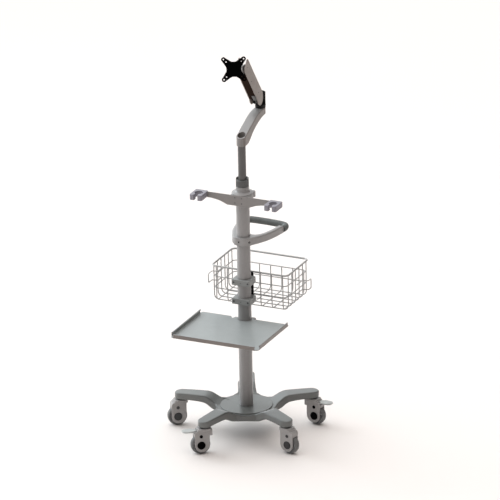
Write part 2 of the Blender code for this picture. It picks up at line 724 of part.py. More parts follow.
def build_link():
    """The hidden bar that keeps the head level, with its own stub pins."""
    foot = (LIFT_Y, LIFT_Z - LINK_DROP)
    top = (HEAD_Y, HEAD_Z - LINK_DROP)
    lean = Vector(top) - Vector(foot)
    lean.normalize()
    wide = Vector((lean.y, -lean.x)) * 5
    a, b = Vector(foot), Vector(top)
    bar = prism("arm_link", [tuple(a - wide), tuple(a + wide), tuple(b + wide), tuple(b - wide)], -4, 4, "X")
    ends = [prism("eye", circle(point, 7.5, 14), -5.5, 5.5, "X") for point in (foot, top)]
    pins = [prism("stub", circle(point, 4, 12), -12, 12, "X") for point in (foot, top)]
    join(bar, *ends, *pins)
    place(moved(bar, *foot), "steel", turn_point("link_axis", *foot))


def build_head():
    top, low = PAN_Z - 16, PAN_Z - 41
    head = lathe("arm_head", [(0, top), (21, top), (24, top - 3), (24, low + 3), (21, low), (0, low)], 24)
    head.data.transform(Matrix.Translation((0, PAN_Y * 0.001, 0)))
    plan = [(-24, PAN_Y), (24, PAN_Y), (24, -26), (16, -18), (-16, -18), (-24, -26)]
    back, under = HEAD_Y + 14, HEAD_Z - LINK_DROP - 10
    side = rounded([(-30, low + 2), (-10, under), (HEAD_Y + 10, under), (back, HEAD_Z + 13), (HEAD_Y - 12, HEAD_Z + 13),
                    (-30, top - 2)], [0, 0, 8, 12, 12, 0])
    join(head, prism("neck", plan, low + 2, top - 2), *arm_cheeks(side))
    cut(head, *pivot_holes(HEAD_Y, HEAD_Z), cylinder("pan_bore", 6.5, PAN_Z - 80, PAN_Z, 12, (0, PAN_Y)))
    place(moved(head, HEAD_Y, HEAD_Z), "coat", turn_point("head_axis", HEAD_Y, HEAD_Z))


def build_screen_mount():
    """The yoke that pans on the arm head, the block that tilts in it and the screen plate."""
    pan = empty("pan_axis", (0, PAN_Y, PAN_Z), (0, 0, PAN_ANGLE), ROOT)
    place(yoke_shape(), "dark", pan)
    tilt = empty("tilt_axis", (0, -TILT_OUT, 0), (-TILT_ANGLE, 0, 0), pan)
    block_shape = prism("tilt_block", circle((0, 0), 9, 16), -10.5, 10.5, "X")
    join(block_shape, block("neck", (-9.5, -17, -8.5), (9.5, 0, 8.5)),
         prism("boss", circle((0, 0), 17, 20), -PLATE_OUT + GAP, -15, "Y"))
    cut(block_shape, prism("bolt_bore", circle((0, 0), 5.4, 12), -60, -11.5, "Y"),
        prism("pin_bore", circle((0, 0), 4.4, 12), -40, 40, "X"))
    place(block_shape, "black", tilt)
    place(prism("tilt_pin", circle((0, 0), 4, 12), -17, 17, "X"), "steel", tilt)
    place(plate_shape(), "black", tilt)
    seat = PLATE_OUT + PLATE_THICK - SEAT_DEPTH + GAP
    front = PLATE_OUT + PLATE_THICK - GAP
    rim = SEAT_R - GAP
    bolt = lathe("plate_bolt", [(0, front), (rim - 0.6, front), (rim, front - 0.6), (rim, seat), (5, seat), (5, 12),
                                (0, 12)], 16)
    bolt.data.transform(Matrix.Rotation(math.radians(90), 4, "X"))
    place(bolt, "black", tilt)


def yoke_shape():
    body = lathe("pan_yoke", [(0, -10), (19.5, -10), (21, -11.5), (21, -15.7), (6, -15.7), (6, -38), (0, -38)], 20)
    side = rounded([(-TILT_OUT - 10, -9), (-TILT_OUT - 10, 10), (-TILT_OUT + 10, 10), (6, -13), (-10, -13)],
                   [8, 9, 9, 0, 0])
    ears = [prism("ear", side, a, b, "X") for a, b in ((-17, -11), (11, 17))]
    join(body, *ears)
    return cut(body, prism("pin_bore", circle((-TILT_OUT, 0), 4.4, 12), -40, 40, "X"))


def plate_shape():
    """The cross-shaped screen plate, in XZ, with two squares of screw holes 100 mm and 75 mm across."""
    corner = 50.0
    lobe = 12.0
    waist = 37.0
    outline = []
    for quarter in range(4):
        turn = 90 * quarter
        outline += [turned(p, turn) for p in arc((corner, corner), lobe, -52, 142, 6)]
        outline += [turned(p, turn) for p in arc((0, 70), 70 - waist, -60, -120, 4)]
    holes = [circle(turned((half, half), 90 * quarter), 2.6, 8) for half in (corner, 37.5) for quarter in range(4)]
    hub = circle((0, 0), 5.4, 12)
    face = PLATE_OUT + PLATE_THICK
    plate = prism("vesa_plate", outline, -face, -PLATE_OUT, "Y", holes=[hub, *holes])
    return cut(plate, prism("bolt_seat", circle((0, 0), SEAT_R, 24), -face - 5, -face + SEAT_DEPTH, "Y"))


def turned(point, angle):
    t = math.radians(angle)
    c, s = math.cos(t), math.sin(t)
    return point[0] * c - point[1] * s, point[0] * s + point[1] * c


def main():
    build_base()
    for key in ARM_ANGLES:
        build_caster(key)
    build_column()
    build_crossbar()
    build_handle()
    build_clamps()
    build_basket()
    build_tray()
    build_pole()
    build_curved_arm()
    build_knuckle()
    build_spring_arm()
    build_link()
    build_head()
    build_screen_mount()


def stand_on_origin():
    """Puts the middle of the stand's footprint over the origin, with its tyres on Z = 0."""
    bpy.context.view_layer.update()
    corners = [obj.matrix_world @ vert.co for obj in STAND.all_objects if obj.type == "MESH"
               for vert in obj.data.vertices]
    for axis in range(2):
        reach = [corner[axis] for corner in corners]
        ROOT.location[axis] = -(min(reach) + max(reach)) / 2


main()
stand_on_origin()
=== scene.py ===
"""Looks of the rolling monitor stand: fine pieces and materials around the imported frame, in a pale studio."""

import json
import math

import bmesh
import bpy
from mathutils import Matrix, Quaternion, Vector


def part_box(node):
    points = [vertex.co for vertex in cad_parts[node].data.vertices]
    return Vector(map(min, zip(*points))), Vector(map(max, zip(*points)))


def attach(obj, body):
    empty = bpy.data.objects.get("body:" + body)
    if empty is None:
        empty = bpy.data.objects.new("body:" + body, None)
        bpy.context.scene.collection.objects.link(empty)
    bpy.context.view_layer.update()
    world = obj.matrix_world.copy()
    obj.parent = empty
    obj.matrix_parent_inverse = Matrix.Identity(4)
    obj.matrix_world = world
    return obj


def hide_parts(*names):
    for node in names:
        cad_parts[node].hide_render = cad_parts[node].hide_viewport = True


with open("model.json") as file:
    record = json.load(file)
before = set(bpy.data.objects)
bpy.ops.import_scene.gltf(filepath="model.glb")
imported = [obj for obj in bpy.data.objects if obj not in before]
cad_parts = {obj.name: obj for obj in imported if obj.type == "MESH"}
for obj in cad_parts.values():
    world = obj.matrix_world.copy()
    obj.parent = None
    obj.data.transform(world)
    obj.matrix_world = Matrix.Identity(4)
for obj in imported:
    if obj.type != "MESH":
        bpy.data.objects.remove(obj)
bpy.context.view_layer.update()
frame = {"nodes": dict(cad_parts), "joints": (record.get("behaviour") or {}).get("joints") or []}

# Lengths are in millimetres in the stand's own frame: Z up, -Y the front, and the column's axis at X = Y = 0.
MM = 0.001
JOINTS = {joint["name"]: joint for joint in frame["joints"]}
TUBE_LOW, TUBE_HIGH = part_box("column_tube")
AXIS = Vector(((TUBE_LOW.x + TUBE_HIGH.x) / 2, (TUBE_LOW.y + TUBE_HIGH.y) / 2, 0))
STAND = Matrix.Translation(AXIS)
GAP = 0.3
CENTRE = 0.01    # radius at which a turned solid closes on its axis


def spot(joint):
    """Where a joint is."""
    return (Vector(JOINTS[joint]["pos_m"]) - AXIS) / MM


def box(node):
    """Lowest and highest corner of a CAD node."""
    low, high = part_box(node)
    return (low - AXIS) / MM, (high - AXIS) / MM


CASTERS = "abcde"
BRAKED = "bd"
COLUMN_R = (TUBE_HIGH.x - TUBE_LOW.x) / 2 / MM
COLUMN_TOP = TUBE_HIGH.z / MM
WHEEL_R = spot("roll_a").z
LIFT = spot("lift")
HEAD = spot("head_level")
KNUCKLE = spot("knuckle_swing")
PAN = spot("pan")


# Mesh tools. Each one returns an object that is not in the scene yet.

def arc(centre, radius, start, end, steps):
    cx, cy = centre
    turn = [math.radians(start + (end - start) * i / steps) for i in range(steps + 1)]
    return [(cx + radius * math.cos(t), cy + radius * math.sin(t)) for t in turn]


def circle(centre, radius, steps=48):
    return arc(centre, radius, 0, 360, steps)[:-1]


def rectangle(low, high):
    return [(low[0], low[1]), (high[0], low[1]), (high[0], high[1]), (low[0], high[1])]


def rotated(point, angle):
    t = math.radians(angle)
    c, s = math.cos(t), math.sin(t)
    return point[0] * c - point[1] * s, point[0] * s + point[1] * c


def rounded(points, radius, steps=6):
    """The polygon with each corner turned into an arc. Radius is one number or one for each corner."""
    count = len(points)
    radii = radius if isinstance(radius, (list, tuple)) else [radius] * count
    out = []
    for i in range(count):
        here = Vector(points[i])
        back = Vector(points[i - 1]) - here
        ahead = Vector(points[(i + 1) % count]) - here
        room = min(back.length, ahead.length) * 0.49
        back.normalize()
        ahead.normalize()
        half = math.acos(max(-1, min(1, back.dot(ahead)))) / 2
        if radii[i] <= 0 or half > math.radians(89):
            out.append(tuple(here))
            continue
        cut_back = min(radii[i] / math.tan(half), room)
        r = cut_back * math.tan(half)
        middle = here + (back + ahead).normalized() * (r / math.sin(half))
        first = here + back * cut_back - middle
        last = here + ahead * cut_back - middle
        sweep = math.atan2(first.x * last.y - first.y * last.x, first.dot(last))
        turns = [math.degrees(sweep * k / steps) for k in range(steps + 1)]
        out += [tuple(middle + Vector(rotated(first, turn))) for turn in turns]
    return out


def smooth(points, steps=5):
    """A smooth line through the points, with its two ends kept."""
    ends = [2 * Vector(points[0]) - Vector(points[1]), 2 * Vector(points[-1]) - Vector(points[-2])]
    p = [ends[0], *[Vector(point) for point in points], ends[1]]
    out = []
    for i in range(1, len(p) - 2):
        for k in range(steps):
            t = k / steps
            out.append(tuple(0.5 * (2 * p[i] + (p[i + 1] - p[i - 1]) * t
                                    + (2 * p[i - 1] - 5 * p[i] + 4 * p[i + 1] - p[i + 2]) * t ** 2
                                    + (3 * p[i] - p[i - 1] - 3 * p[i + 1] + p[i + 2]) * t ** 3)))
    return out + [tuple(points[-1])]


def both_sides(half):
    """A path from the right round to the left, from its right half that ends on X = 0."""
    return half + [(-point[0], *point[1:]) for point in reversed(half[:-1])]


def mirrored(half):
    """A closed profile from its half with positive heights."""
    return half + [(r, -z) for r, z in reversed(half)]


def shaded(obj, angle=35):
    obj.data.shade_smooth()
    obj.data.set_sharp_from_angle(angle=math.radians(angle))
    return obj


def from_bmesh(name, bm, angle=35):
    mesh = bpy.data.meshes.new(name)
    bmesh.ops.recalc_face_normals(bm, faces=bm.faces[:])
    bm.to_mesh(mesh)
    bm.free()
    return shaded(bpy.data.objects.new(name, mesh), angle)


def curve_mesh(name, curve):
    """The curve's surface as a welded mesh."""
    holder = bpy.data.objects.new(name, curve)
    mesh = bpy.data.meshes.new_from_object(holder)
    bm = bmesh.new()
    bm.from_mesh(mesh)
    bmesh.ops.remove_doubles(bm, verts=bm.verts[:], dist=1e-6)
    bpy.data.meshes.remove(mesh)
    bpy.data.objects.remove(holder)
    bpy.data.curves.remove(curve)
    return bm


PUSH = {
    "Z": Matrix.Identity(4),
    "X": Matrix(((0, 0, 1, 0), (1, 0, 0, 0), (0, 1, 0, 0), (0, 0, 0, 1))),
    "Y": Matrix(((1, 0, 0, 0), (0, 0, -1, 0), (0, 1, 0, 0), (0, 0, 0, 1))),
}


def prism_bmesh(name, outline, low, high, axis="Z", soft=0.0, holes=(), steps=3):
    if axis == "Y":
        low, high = -high, -low
    curve = bpy.data.curves.new(name, "CURVE")
    curve.dimensions = "2D"
    curve.fill_mode = "BOTH"
    for loop in (outline, *holes):
        spline = curve.splines.new("POLY")
        spline.points.add(len(loop) - 1)
        for point, (a, b) in zip(spline.points, loop):
            point.co = (a * MM, b * MM, 0, 1)
        spline.use_cyclic_u = True
    curve.extrude = (high - low) * MM / 2 - soft * MM
    if soft:
        curve.bevel_depth = soft * MM
        curve.bevel_resolution = steps
        curve.offset = -soft * MM
    bm = curve_mesh(name, curve)
    bmesh.ops.translate(bm, vec=(0, 0, (high + low) * MM / 2), verts=bm.verts[:])
    bmesh.ops.transform(bm, matrix=PUSH[axis], verts=bm.verts[:])
    return bm


def prism(name, outline, low, high, axis="Z", soft=0.0, holes=(), steps=3):
    """A flat outline pushed along an axis, with round edges. Outline is XY for Z, YZ for X and XZ for Y."""
    return from_bmesh(name, prism_bmesh(name, outline, low, high, axis, soft, holes, steps))


def block(name, low, high, soft=1.0, corner=0.0):
    outline = rectangle(low, high)
    if corner:
        outline = rounded(outline, corner, 6)
    return prism(name, outline, low[2], high[2], soft=soft)


def lathe(name, profile, steps=72, ring=False):
    """A profile of (radius, height) turned about Z. A ring profile closes on itself."""
    bm = bmesh.new()
    verts = [bm.verts.new((r * MM, 0, z * MM)) for r, z in profile]
    edges = [bm.edges.new(pair) for pair in zip(verts, verts[1:])]
    if ring:
        edges.append(bm.edges.new((verts[-1], verts[0])))
    bmesh.ops.spin(bm, geom=verts + edges, cent=(0, 0, 0), axis=(0, 0, 1), angle=math.tau, steps=steps,
                   use_merge=True)
    bmesh.ops.remove_doubles(bm, verts=bm.verts[:], dist=1e-6)
    return from_bmesh(name, bm)


def turned(name, profile, radius, steps=72):
    """A ring turned about Z from a closed profile, with its corners rounded."""
    return lathe(name, rounded(profile, radius, 3), steps, ring=True)


def cylinder(name, radius, low, high, steps=48, at=(0, 0), soft=0.0):
    return prism(name, circle(at, radius, steps), low, high, soft=soft, steps=2)


def round_bar(name, points, radius, sides=12, cyclic=False):
    """A round bar along a path of points."""
    curve = bpy.data.curves.new(name, "CURVE")
    curve.dimensions = "3D"
    curve.bevel_depth = radius * MM
    curve.bevel_resolution = (sides - 4) // 2
    curve.use_fill_caps = not cyclic
    spline = curve.splines.new("POLY")
    spline.points.add(len(points) - 1)
    for point, co in zip(spline.points, points):
        point.co = (co[0] * MM, co[1] * MM, co[2] * MM, 1)
    spline.use_cyclic_u = cyclic
    return from_bmesh(name, curve_mesh(name, curve))


def combine(obj, operation, others):
    """Joins, cuts or intersects, and leaves the result as one plain mesh."""
    collection = bpy.context.scene.collection
    for item in (obj, *others):
        collection.objects.link(item)
    for other in others:
        step = obj.modifiers.new(operation, "BOOLEAN")
        step.operation = operation
        step.solver = "EXACT"
        step.object = other
    bpy.context.view_layer.update()
    mesh = bpy.data.meshes.new_from_object(obj.evaluated_get(bpy.context.evaluated_depsgraph_get()))
    obj.modifiers.clear()
    obj.data = mesh
    for other in others:
        bpy.data.objects.remove(other)
    collection.objects.unlink(obj)
    return shaded(obj)


def cut(obj, *others):
    return combine(obj, "DIFFERENCE", others)


def join(obj, *others):
    return combine(obj, "UNION", others)


def merged(name, parts):
    """Several solids as one mesh, left as they are."""
    bm = bmesh.new()
    for part in parts:
        bm.from_mesh(part.data)
        bpy.data.objects.remove(part)
    mesh = bpy.data.meshes.new(name)
    bm.to_mesh(mesh)
    bm.free()
    return bpy.data.objects.new(name, mesh)


def shifted(obj, matrix):
    obj.data.transform(matrix)
    return obj


def shift(x=0.0, y=0.0, z=0.0):
    return Matrix.Translation((x * MM, y * MM, z * MM))


def piece(obj, look, body, slot, *nodes, at=STAND, edge=0.0):
    """Puts a shape in the scene with its material, on its body, for the CAD nodes that it stands for."""
    bpy.context.scene.collection.objects.link(obj)
    obj.data.transform(at)
    obj.data.materials.clear()
    obj.data.materials.append(look)
    if edge:
        bevel = obj.modifiers.new("edges", "BEVEL")
        bevel.width = edge * MM
        bevel.segments = 2
        bevel.limit_method = "ANGLE"
        bevel.angle_limit = math.radians(40)
        bevel.miter_outer = "MITER_ARC"
    normals = obj.modifiers.new("normals", "WEIGHTED_NORMAL")
    normals.keep_sharp = True
    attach(obj, body)
    if nodes:
        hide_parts(*nodes)
    return obj


def paint_light_and_shade_by_facing(obj, look, chosen):
    """Gives the faces that are chosen by their normal and centre another coat, a lighter or darker copy of the
    paint: painted light or shade for the way they face.
    """
    obj.data.materials.append(look)
    for face in obj.data.polygons:
        if chosen(face.normal, (face.center - AXIS) / MM):
            face.material_index = len(obj.data.materials) - 1


# Materials.

def node_in(tree, kind, inputs=None, **settings):
    """A new node with its settings, and with each input linked or set."""
    node = tree.nodes.new("ShaderNode" + kind)
    for key, value in settings.items():
        setattr(node, key, value)
    for key, value in (inputs or {}).items():
        feed(tree, node.inputs[key], value)
    return node


def feed(tree, socket, value):
    if isinstance(value, bpy.types.NodeSocket):
        tree.links.new(value, socket)
    else:
        socket.default_value = value


def maths(tree, operation, *values):
    return node_in(tree, "Math", dict(enumerate(values)), operation=operation).outputs["Value"]


def mixed(tree, share, low, high):
    return node_in(tree, "Mix", {"Factor": share, "A": low, "B": high}, data_type="RGBA").outputs["Result"]


class Look:
    """A Principled material that is built up node by node, in the piece's own coordinates."""

    def __init__(self, name, colour, rough, metal=0.0, **settings):
        self.material = bpy.data.materials.new(name)
        self.material.use_nodes = True
        self.material.diffuse_color = (*colour, 1)
        self.tree = self.material.node_tree
        self.shader = self.tree.nodes["Principled BSDF"]
        self.shader.inputs["Metallic"].default_value = metal
        for socket, value in settings.items():
            self.shader.inputs[socket.replace("_", " ")].default_value = value
        self.place = self.add("TexCoord").outputs["Object"]
        self.colour = (*colour, 1)
        self.rough = rough
        self.bump = None

    def add(self, kind, inputs=None, **settings):
        return node_in(self.tree, kind, inputs, **settings)

    def noise(self, scale, detail=3.0, stretch=(1, 1, 1), twist=0.0):
        """A noise pattern with that many waves to the metre."""
        place = self.add("Mapping", {"Vector": self.place, "Scale": stretch}).outputs["Vector"]
        values = {"Vector": place, "Scale": scale, "Detail": detail, "Distortion": twist}
        return self.add("TexNoise", values).outputs["Fac"]

    def spread(self, value, low, high, start=0.35, end=0.65):
        """The pattern's middle range, spread between two values."""
        values = {"Value": value, "From Min": start, "From Max": end, "To Min": low, "To Max": high}
        return self.add("MapRange", values).outputs["Result"]

    def tint(self, pattern, colour, amount=1.0, start=0.35, end=0.65):
        """Mixes another colour in where the pattern is high."""
        share = self.spread(pattern, 0.0, amount, start, end)
        self.colour = mixed(self.tree, share, self.colour, (*colour, 1))

    def roughen(self, pattern, amount, start=0.35, end=0.65):
        """Varies the roughness by that much with the pattern."""
        self.rough = maths(self.tree, "ADD", self.rough, self.spread(pattern, -amount, amount, start, end))

    def emboss(self, pattern, height, strength=1.0):
        """Raises the surface with the pattern, by that height in millimetres."""
        values = {"Height": pattern, "Distance": height * MM, "Strength": strength}
        if self.bump:
            values["Normal"] = self.bump
        self.bump = self.add("Bump", values).outputs["Normal"]

    def done(self):
        feed(self.tree, self.shader.inputs["Base Color"], self.colour)
        feed(self.tree, self.shader.inputs["Roughness"], self.rough)
        if self.bump:
            feed(self.tree, self.shader.inputs["Normal"], self.bump)
        return self.material


def scaled(colour, by):
    return tuple(min(1.0, channel * by) for channel in colour)


def powder_coat(name, colour, rough, coat=0.25, **settings):
    """Sprayed and baked coat: orange peel, faint clouds in the tone, wiped smears and a few dust specks."""
    look = Look(name, colour, rough, Coat_Weight=coat, Coat_Roughness=0.12, **settings)
    look.tint(look.noise(4, 4, twist=0.4), scaled(colour, 0.93), 0.5)
    look.tint(look.noise(55, 5), scaled(colour, 1.05), 0.5)
    look.tint(look.noise(900, 2), scaled(colour, 0.82), 0.5, 0.66, 0.72)
    look.roughen(look.noise(14, 6, (1, 1, 0.3), 0.8), 0.03)
    look.roughen(look.noise(240, 3), 0.03)
    look.emboss(look.noise(420, 2), 0.02, 0.5)
    look.emboss(look.noise(1500, 2), 0.012, 0.5)
    return look.done()


def moulded(name, colour, rough, **settings):
    """Injection-moulded plastic: spark-eroded grain, faint flow clouds and shiny rubbed spots."""
    look = Look(name, colour, rough, **settings)
    look.tint(look.noise(9, 3, twist=1.2), scaled(colour, 1.12), 0.5)
    look.tint(look.noise(130, 4), scaled(colour, 0.88), 0.5)
    look.roughen(look.noise(30, 5, twist=0.6), 0.08)
    look.emboss(look.noise(1600, 3), 0.035, 0.7)
    return look.done()


def rubber(name, colour, rough):
    """Soft rubber: dull, with pale floor dust in patches and a coarse skin."""
    look = Look(name, colour, rough, Sheen_Weight=0.08, Sheen_Roughness=0.5)
    look.tint(look.noise(28, 6, twist=0.5), scaled(colour, 1.7), 0.6, 0.45, 0.75)
    look.tint(look.noise(420, 4), scaled(colour, 0.6), 0.5)
    look.roughen(look.noise(60, 5), 0.1)
    look.emboss(look.noise(700, 5), 0.07, 0.7)
    return look.done()


def drawn_metal(name, colour, rough, along=(1, 1, 0.02), metal=1.0):
    """Drawn or turned metal: fine lines along its length, clouds in its sheen and a few pits."""
    look = Look(name, colour, rough, metal)
    look.tint(look.noise(900, 3, along), scaled(colour, 0.82), 0.6)
    look.tint(look.noise(20, 4), scaled(colour, 1.12), 0.5)
    look.roughen(look.noise(700, 2, along), 0.06)
    look.roughen(look.noise(12, 5, twist=0.5), 0.05)
    look.emboss(look.noise(1200, 2, along), 0.01, 0.6)
    return look.done()


LIGHT = (0.29, 0.28, 0.278)
# SHADED is LIGHT darkened: painted shade for white-painted parts that get less light.
SHADED = (0.225, 0.21, 0.203)
WARM = (0.27, 0.235, 0.215)

coat = powder_coat("light_coat", LIGHT, 0.36)
# The darker copy of the white coat paints shade on the cross bar and on the curved arm.
painted_shade_coat = powder_coat("painted_shade_coat", SHADED, 0.36)
# A darker, warmer copy of the white coat: painted shade on faces turned from the light, the curved arm's flat
# sides and the tray's front and right lips.
painted_side_shade_coat = powder_coat("painted_side_shade_coat", (0.18, 0.155, 0.142), 0.36)
# A lighter copy of the white coat: painted light on the inner face of the tray's left lip.
painted_lip_light_coat = powder_coat("painted_lip_light_coat", (0.37, 0.38, 0.37), 0.36)
# A lighter, bluer copy of the white coat: painted light on the tray, for its top lit from above.
painted_lit_tray_coat = powder_coat("painted_lit_tray_coat", (0.29, 0.31, 0.31), 0.36, 0.12)
cast_coat = powder_coat("base_coat", (0.135, 0.14, 0.135), 0.36, 0.25)
clamp_coat = powder_coat("clamp_coat", (0.24, 0.245, 0.24), 0.4)
black_coat = powder_coat("black_coat", (0.004, 0.004, 0.004), 0.5, 0.0, Specular_IOR_Level=0.25)
plate_coat = powder_coat("plate_coat", (0.001, 0.001, 0.001), 0.6, 0.0, Specular_IOR_Level=0.02)
cover_plastic = moulded("cover_plastic", WARM, 0.42)
pedal_plastic = moulded("pedal_plastic", (0.42, 0.43, 0.42), 0.35)
fork_plastic = moulded("fork_plastic", (0.34, 0.325, 0.32), 0.38)
holder_plastic = moulded("holder_plastic", (0.25, 0.24, 0.275), 0.42)
wheel_plastic = moulded("wheel_plastic", (0.30, 0.30, 0.31), 0.4)
cap_plastic = moulded("cap_plastic", (0.018, 0.018, 0.02), 0.38)
black_cap = moulded("black_cap", (0.001, 0.001, 0.001), 0.6, Specular_IOR_Level=0.03)
lock_plastic = moulded("lock_plastic", (0.1, 0.1, 0.098), 0.4)
dark_plastic = moulded("dark_plastic", (0.017, 0.007, 0.003), 0.6, Specular_IOR_Level=0.03)
inner_plastic = moulded("inner_plastic", (0.05, 0.05, 0.05), 0.5)
grip_rubber = rubber("grip_rubber", (0.1, 0.108, 0.105), 0.6)
tread_rubber = rubber("tread_rubber", (0.15, 0.15, 0.15), 0.62)
pole_metal = drawn_metal("pole_metal", (0.115, 0.11, 0.108), 0.42, metal=0.3)
wire_metal = drawn_metal("wire_metal", (0.41, 0.405, 0.4), 0.36, (1, 1, 1), 0.3)
screw_steel = drawn_metal("screw_steel", (0.11, 0.11, 0.115), 0.35, (1, 1, 1))
bright_steel = drawn_metal("bright_steel", (0.5, 0.5, 0.5), 0.28, (1, 1, 1))


SCREW_HEIGHT = 0.55    # of the head's radius
SOCKET_WIDTH = 0.52
SOCKET_FLOOR = 0.35    # of the head's height


def socket_screw(name, radius, at, normal, matrix=STAND, body="stand", look=screw_steel):
    """A screw head with a hexagon socket, its seat at a point and its axis along the normal."""
    high = radius * SCREW_HEIGHT
    head = turned(name, rectangle((CENTRE, 0), (radius, high)), [0, 0, radius * 0.25, 0], 32)
    key = prism("key", circle((0, 0), radius * SOCKET_WIDTH, 6), high * SOCKET_FLOOR, high * 2)
    cut(head, key)
    turn = Vector(normal).to_track_quat("Z", "Y").to_matrix().to_4x4()
    shifted(head, shift(*at) @ turn)
    return piece(head, look, body, "bright_steel", at=matrix)


# Base: one casting, its plan pushed up and then bent to the arms' side view.

# Heights of an arm's upper and lower side at a distance from the axis, and its half width there.
ARM_TOP = smooth([(0, 143), (122, 143), (137, 147), (150, 152), (162, 159), (178, 169), (194, 177),
                  (212, 181.5), (240, 182), (300, 180), (346, 178), (390, 174)], 4)
ARM_LOW = smooth([(0, 113), (122, 112), (138, 111), (150, 112), (162, 115), (178, 122), (194, 133),
                  (212, 141), (240, 145), (300, 145), (346, 143), (390, 144)], 4)
ARM_SIDE = ((150, 49), (178, 43.5), (212, 40), (300, 36))
ARM_BENDS = [16, 60, 90, 90]
HALF_SPACING = 36.0    # degrees from an arm to the middle of the web beside it
WEB_R = 90.0
DISC_R = 131.5
DISC_LOW = 125.0
DISC_TOP = 148.0
BOLT_RECESS_R = 22.0
STEM_R = 8.0
STEM_BORE_R = 8.6
SWIVEL_R = spot("swivel_a").xy.length
END_R = 34.0
BODY_THICK = 35.0
ARM_STATIONS = [104 + 9 * i for i in range(14)] + [250, 300, SWIVEL_R]


def level(line, distance):
    """The height of a side-view line at that distance from the axis."""
    for (a, low), (b, high) in zip(line, line[1:]):
        if distance <= b:
            return low + (high - low) * (distance - a) / (b - a)
    return line[-1][1]


def base_plan(angles):
    """The casting's outline seen from above: arms with round ends, joined by straight webs."""
    outline = []
    radii = []
    for angle in angles:
        side = [(d, -w) for d, w in ARM_SIDE]
        tip = arc((SWIVEL_R, 0), END_R, -90, 90, 24)
        points = side + tip + [(d, -w) for d, w in reversed(side)]
        outline += [rotated(point, angle) for point in points]
        radii += ARM_BENDS + [0] * len(tip) + ARM_BENDS[::-1]
    return rounded(outline, radii, 6)


def in_arm(point, along):
    """Whether a point is outside the hub's middle, in the sector of the arm in that direction."""
    flat = Vector((point.x, point.y, 0))
    widest = math.cos(math.radians(HALF_SPACING + 0.2))
    return flat.length > WEB_R * MM and flat.normalized().dot(along) > widest


def build_base():
    swivels = [spot("swivel_" + key) for key in CASTERS]
    angles = sorted(math.degrees(math.atan2(at.y, at.x)) for at in swivels)
    bm = prism_bmesh("base_shell", base_plan(angles), 0, BODY_THICK, soft=7, steps=5)
    for angle in angles:
        half_way = Vector((*rotated((0, 1), angle + HALF_SPACING), 0))
        every = bm.verts[:] + bm.edges[:] + bm.faces[:]
        bmesh.ops.bisect_plane(bm, geom=every, plane_co=(0, 0, 0), plane_no=half_way, dist=1e-7)
    arms = [Vector((*rotated((1, 0), angle), 0)) for angle in angles]
    for arm in arms:
        for distance in ARM_STATIONS:
            faces = [face for face in bm.faces if in_arm(face.calc_center_median(), arm)]
            parts = list({edge for face in faces for edge in face.edges})
            parts += list({vert for face in faces for vert in face.verts})
            at = arm * distance * MM
            bmesh.ops.bisect_plane(bm, geom=faces + parts, plane_co=at, plane_no=arm, dist=1e-7)
    for vert in bm.verts:
        distance = max(vert.co.dot(arm) for arm in arms) / MM
        low, top = level(ARM_LOW, distance), level(ARM_TOP, distance)
        vert.co.z = (low + (top - low) * vert.co.z / (BODY_THICK * MM)) * MM
    shell = from_bmesh("base_shell", bm, 40)
    section = rectangle((CENTRE, DISC_LOW), (DISC_R, DISC_TOP))
    join(shell, turned("disc", section, [0, 0, 2.2, 0], 120))
    bores = [cylinder("stem_bore", STEM_BORE_R, 100, 168, 24, at.xy) for at in swivels]
    cut(shell, cylinder("bolt_recess", BOLT_RECESS_R, 90, 121), *bores)
    piece(shell, cast_coat, "stand", "base_grey", "base_casting")


# Casters, each in its own frame: origin on the floor under the swivel, +X to the wheel.

TRAIL = (spot("roll_a") - spot("swivel_a")).xy.length
FORK_HALF = 25.0
FORK_TOP = 123.0
FORK_BACK = -20.4
FORK_FRONT = 56.3
WHEEL_ROOM_R = 54.5
WHEEL_ROOM_HALF = 18.4
PEDAL_ROOM_HALF = 15.6
HEAD_TOP = 136.6
BRAKE_CAP_Z = 98.0
AXLE_R = 6.4


def caster_frame(key):
    swivel, wheel = spot("swivel_" + key), spot("roll_" + key)
    turn = math.atan2(wheel.y - swivel.y, wheel.x - swivel.x)
    return STAND @ shift(swivel.x, swivel.y) @ Matrix.Rotation(turn, 4, "Z")


def build_fork(key, at):
    """Two straight cheeks with round feet, a stepped plate on top, the swivel's seal and its stem."""
    body = "caster_" + key
    foot = arc(((FORK_BACK + FORK_FRONT) / 2, WHEEL_R + 1), (FORK_FRONT - FORK_BACK) / 2, 180, 360, 40)
    outline = [(FORK_BACK, FORK_TOP), *foot, (FORK_FRONT, 112), (FORK_FRONT - 6, FORK_TOP)]
    radii = [3] + [0] * len(foot) + [5, 4]
    outline = rounded(outline, radii, 4)
    fork = prism("fork_body_" + key, outline, -FORK_HALF, FORK_HALF, "Y", soft=2.5, steps=3)
    head = block("head", (-28.5, -28.5, 121), (39.5, 28.5, HEAD_TOP), 2, 14)
    step = block("step", (-22, -27.5, 119), (45, 27.5, 129), 1.5, 9)
    join(fork, head, step)
    if key in BRAKED:
        join(fork, block("brake_block", (-35, -22, 98), (-18, 22, 130), 2, 3))
    wheel_room = circle((TRAIL, WHEEL_R), WHEEL_ROOM_R, 72)
    cut(fork, prism("slot", wheel_room, -WHEEL_ROOM_HALF, WHEEL_ROOM_HALF, "Y"),
        prism("hole", circle((TRAIL, WHEEL_R), AXLE_R, 24), -40, 40, "Y"))
    if key in BRAKED:
        cut(fork, block("pocket", (44.6, -PEDAL_ROOM_HALF, 110), (80, PEDAL_ROOM_HALF, 150), 0))
    piece(fork, fork_plastic, body, "light_coat", "fork_" + key, at=at, edge=0.7)
    stem = cylinder("stem_" + key, STEM_R, 130, 166, 24, soft=1)
    piece(stem, bright_steel, body, "bright_steel", at=at)
    seal = turned("swivel_seal_" + key, rectangle((9, 137), (27, 142.4)), [0, 1.2, 1.6, 0], 64)
    piece(seal, inner_plastic, body, "dark_plastic", at=at)


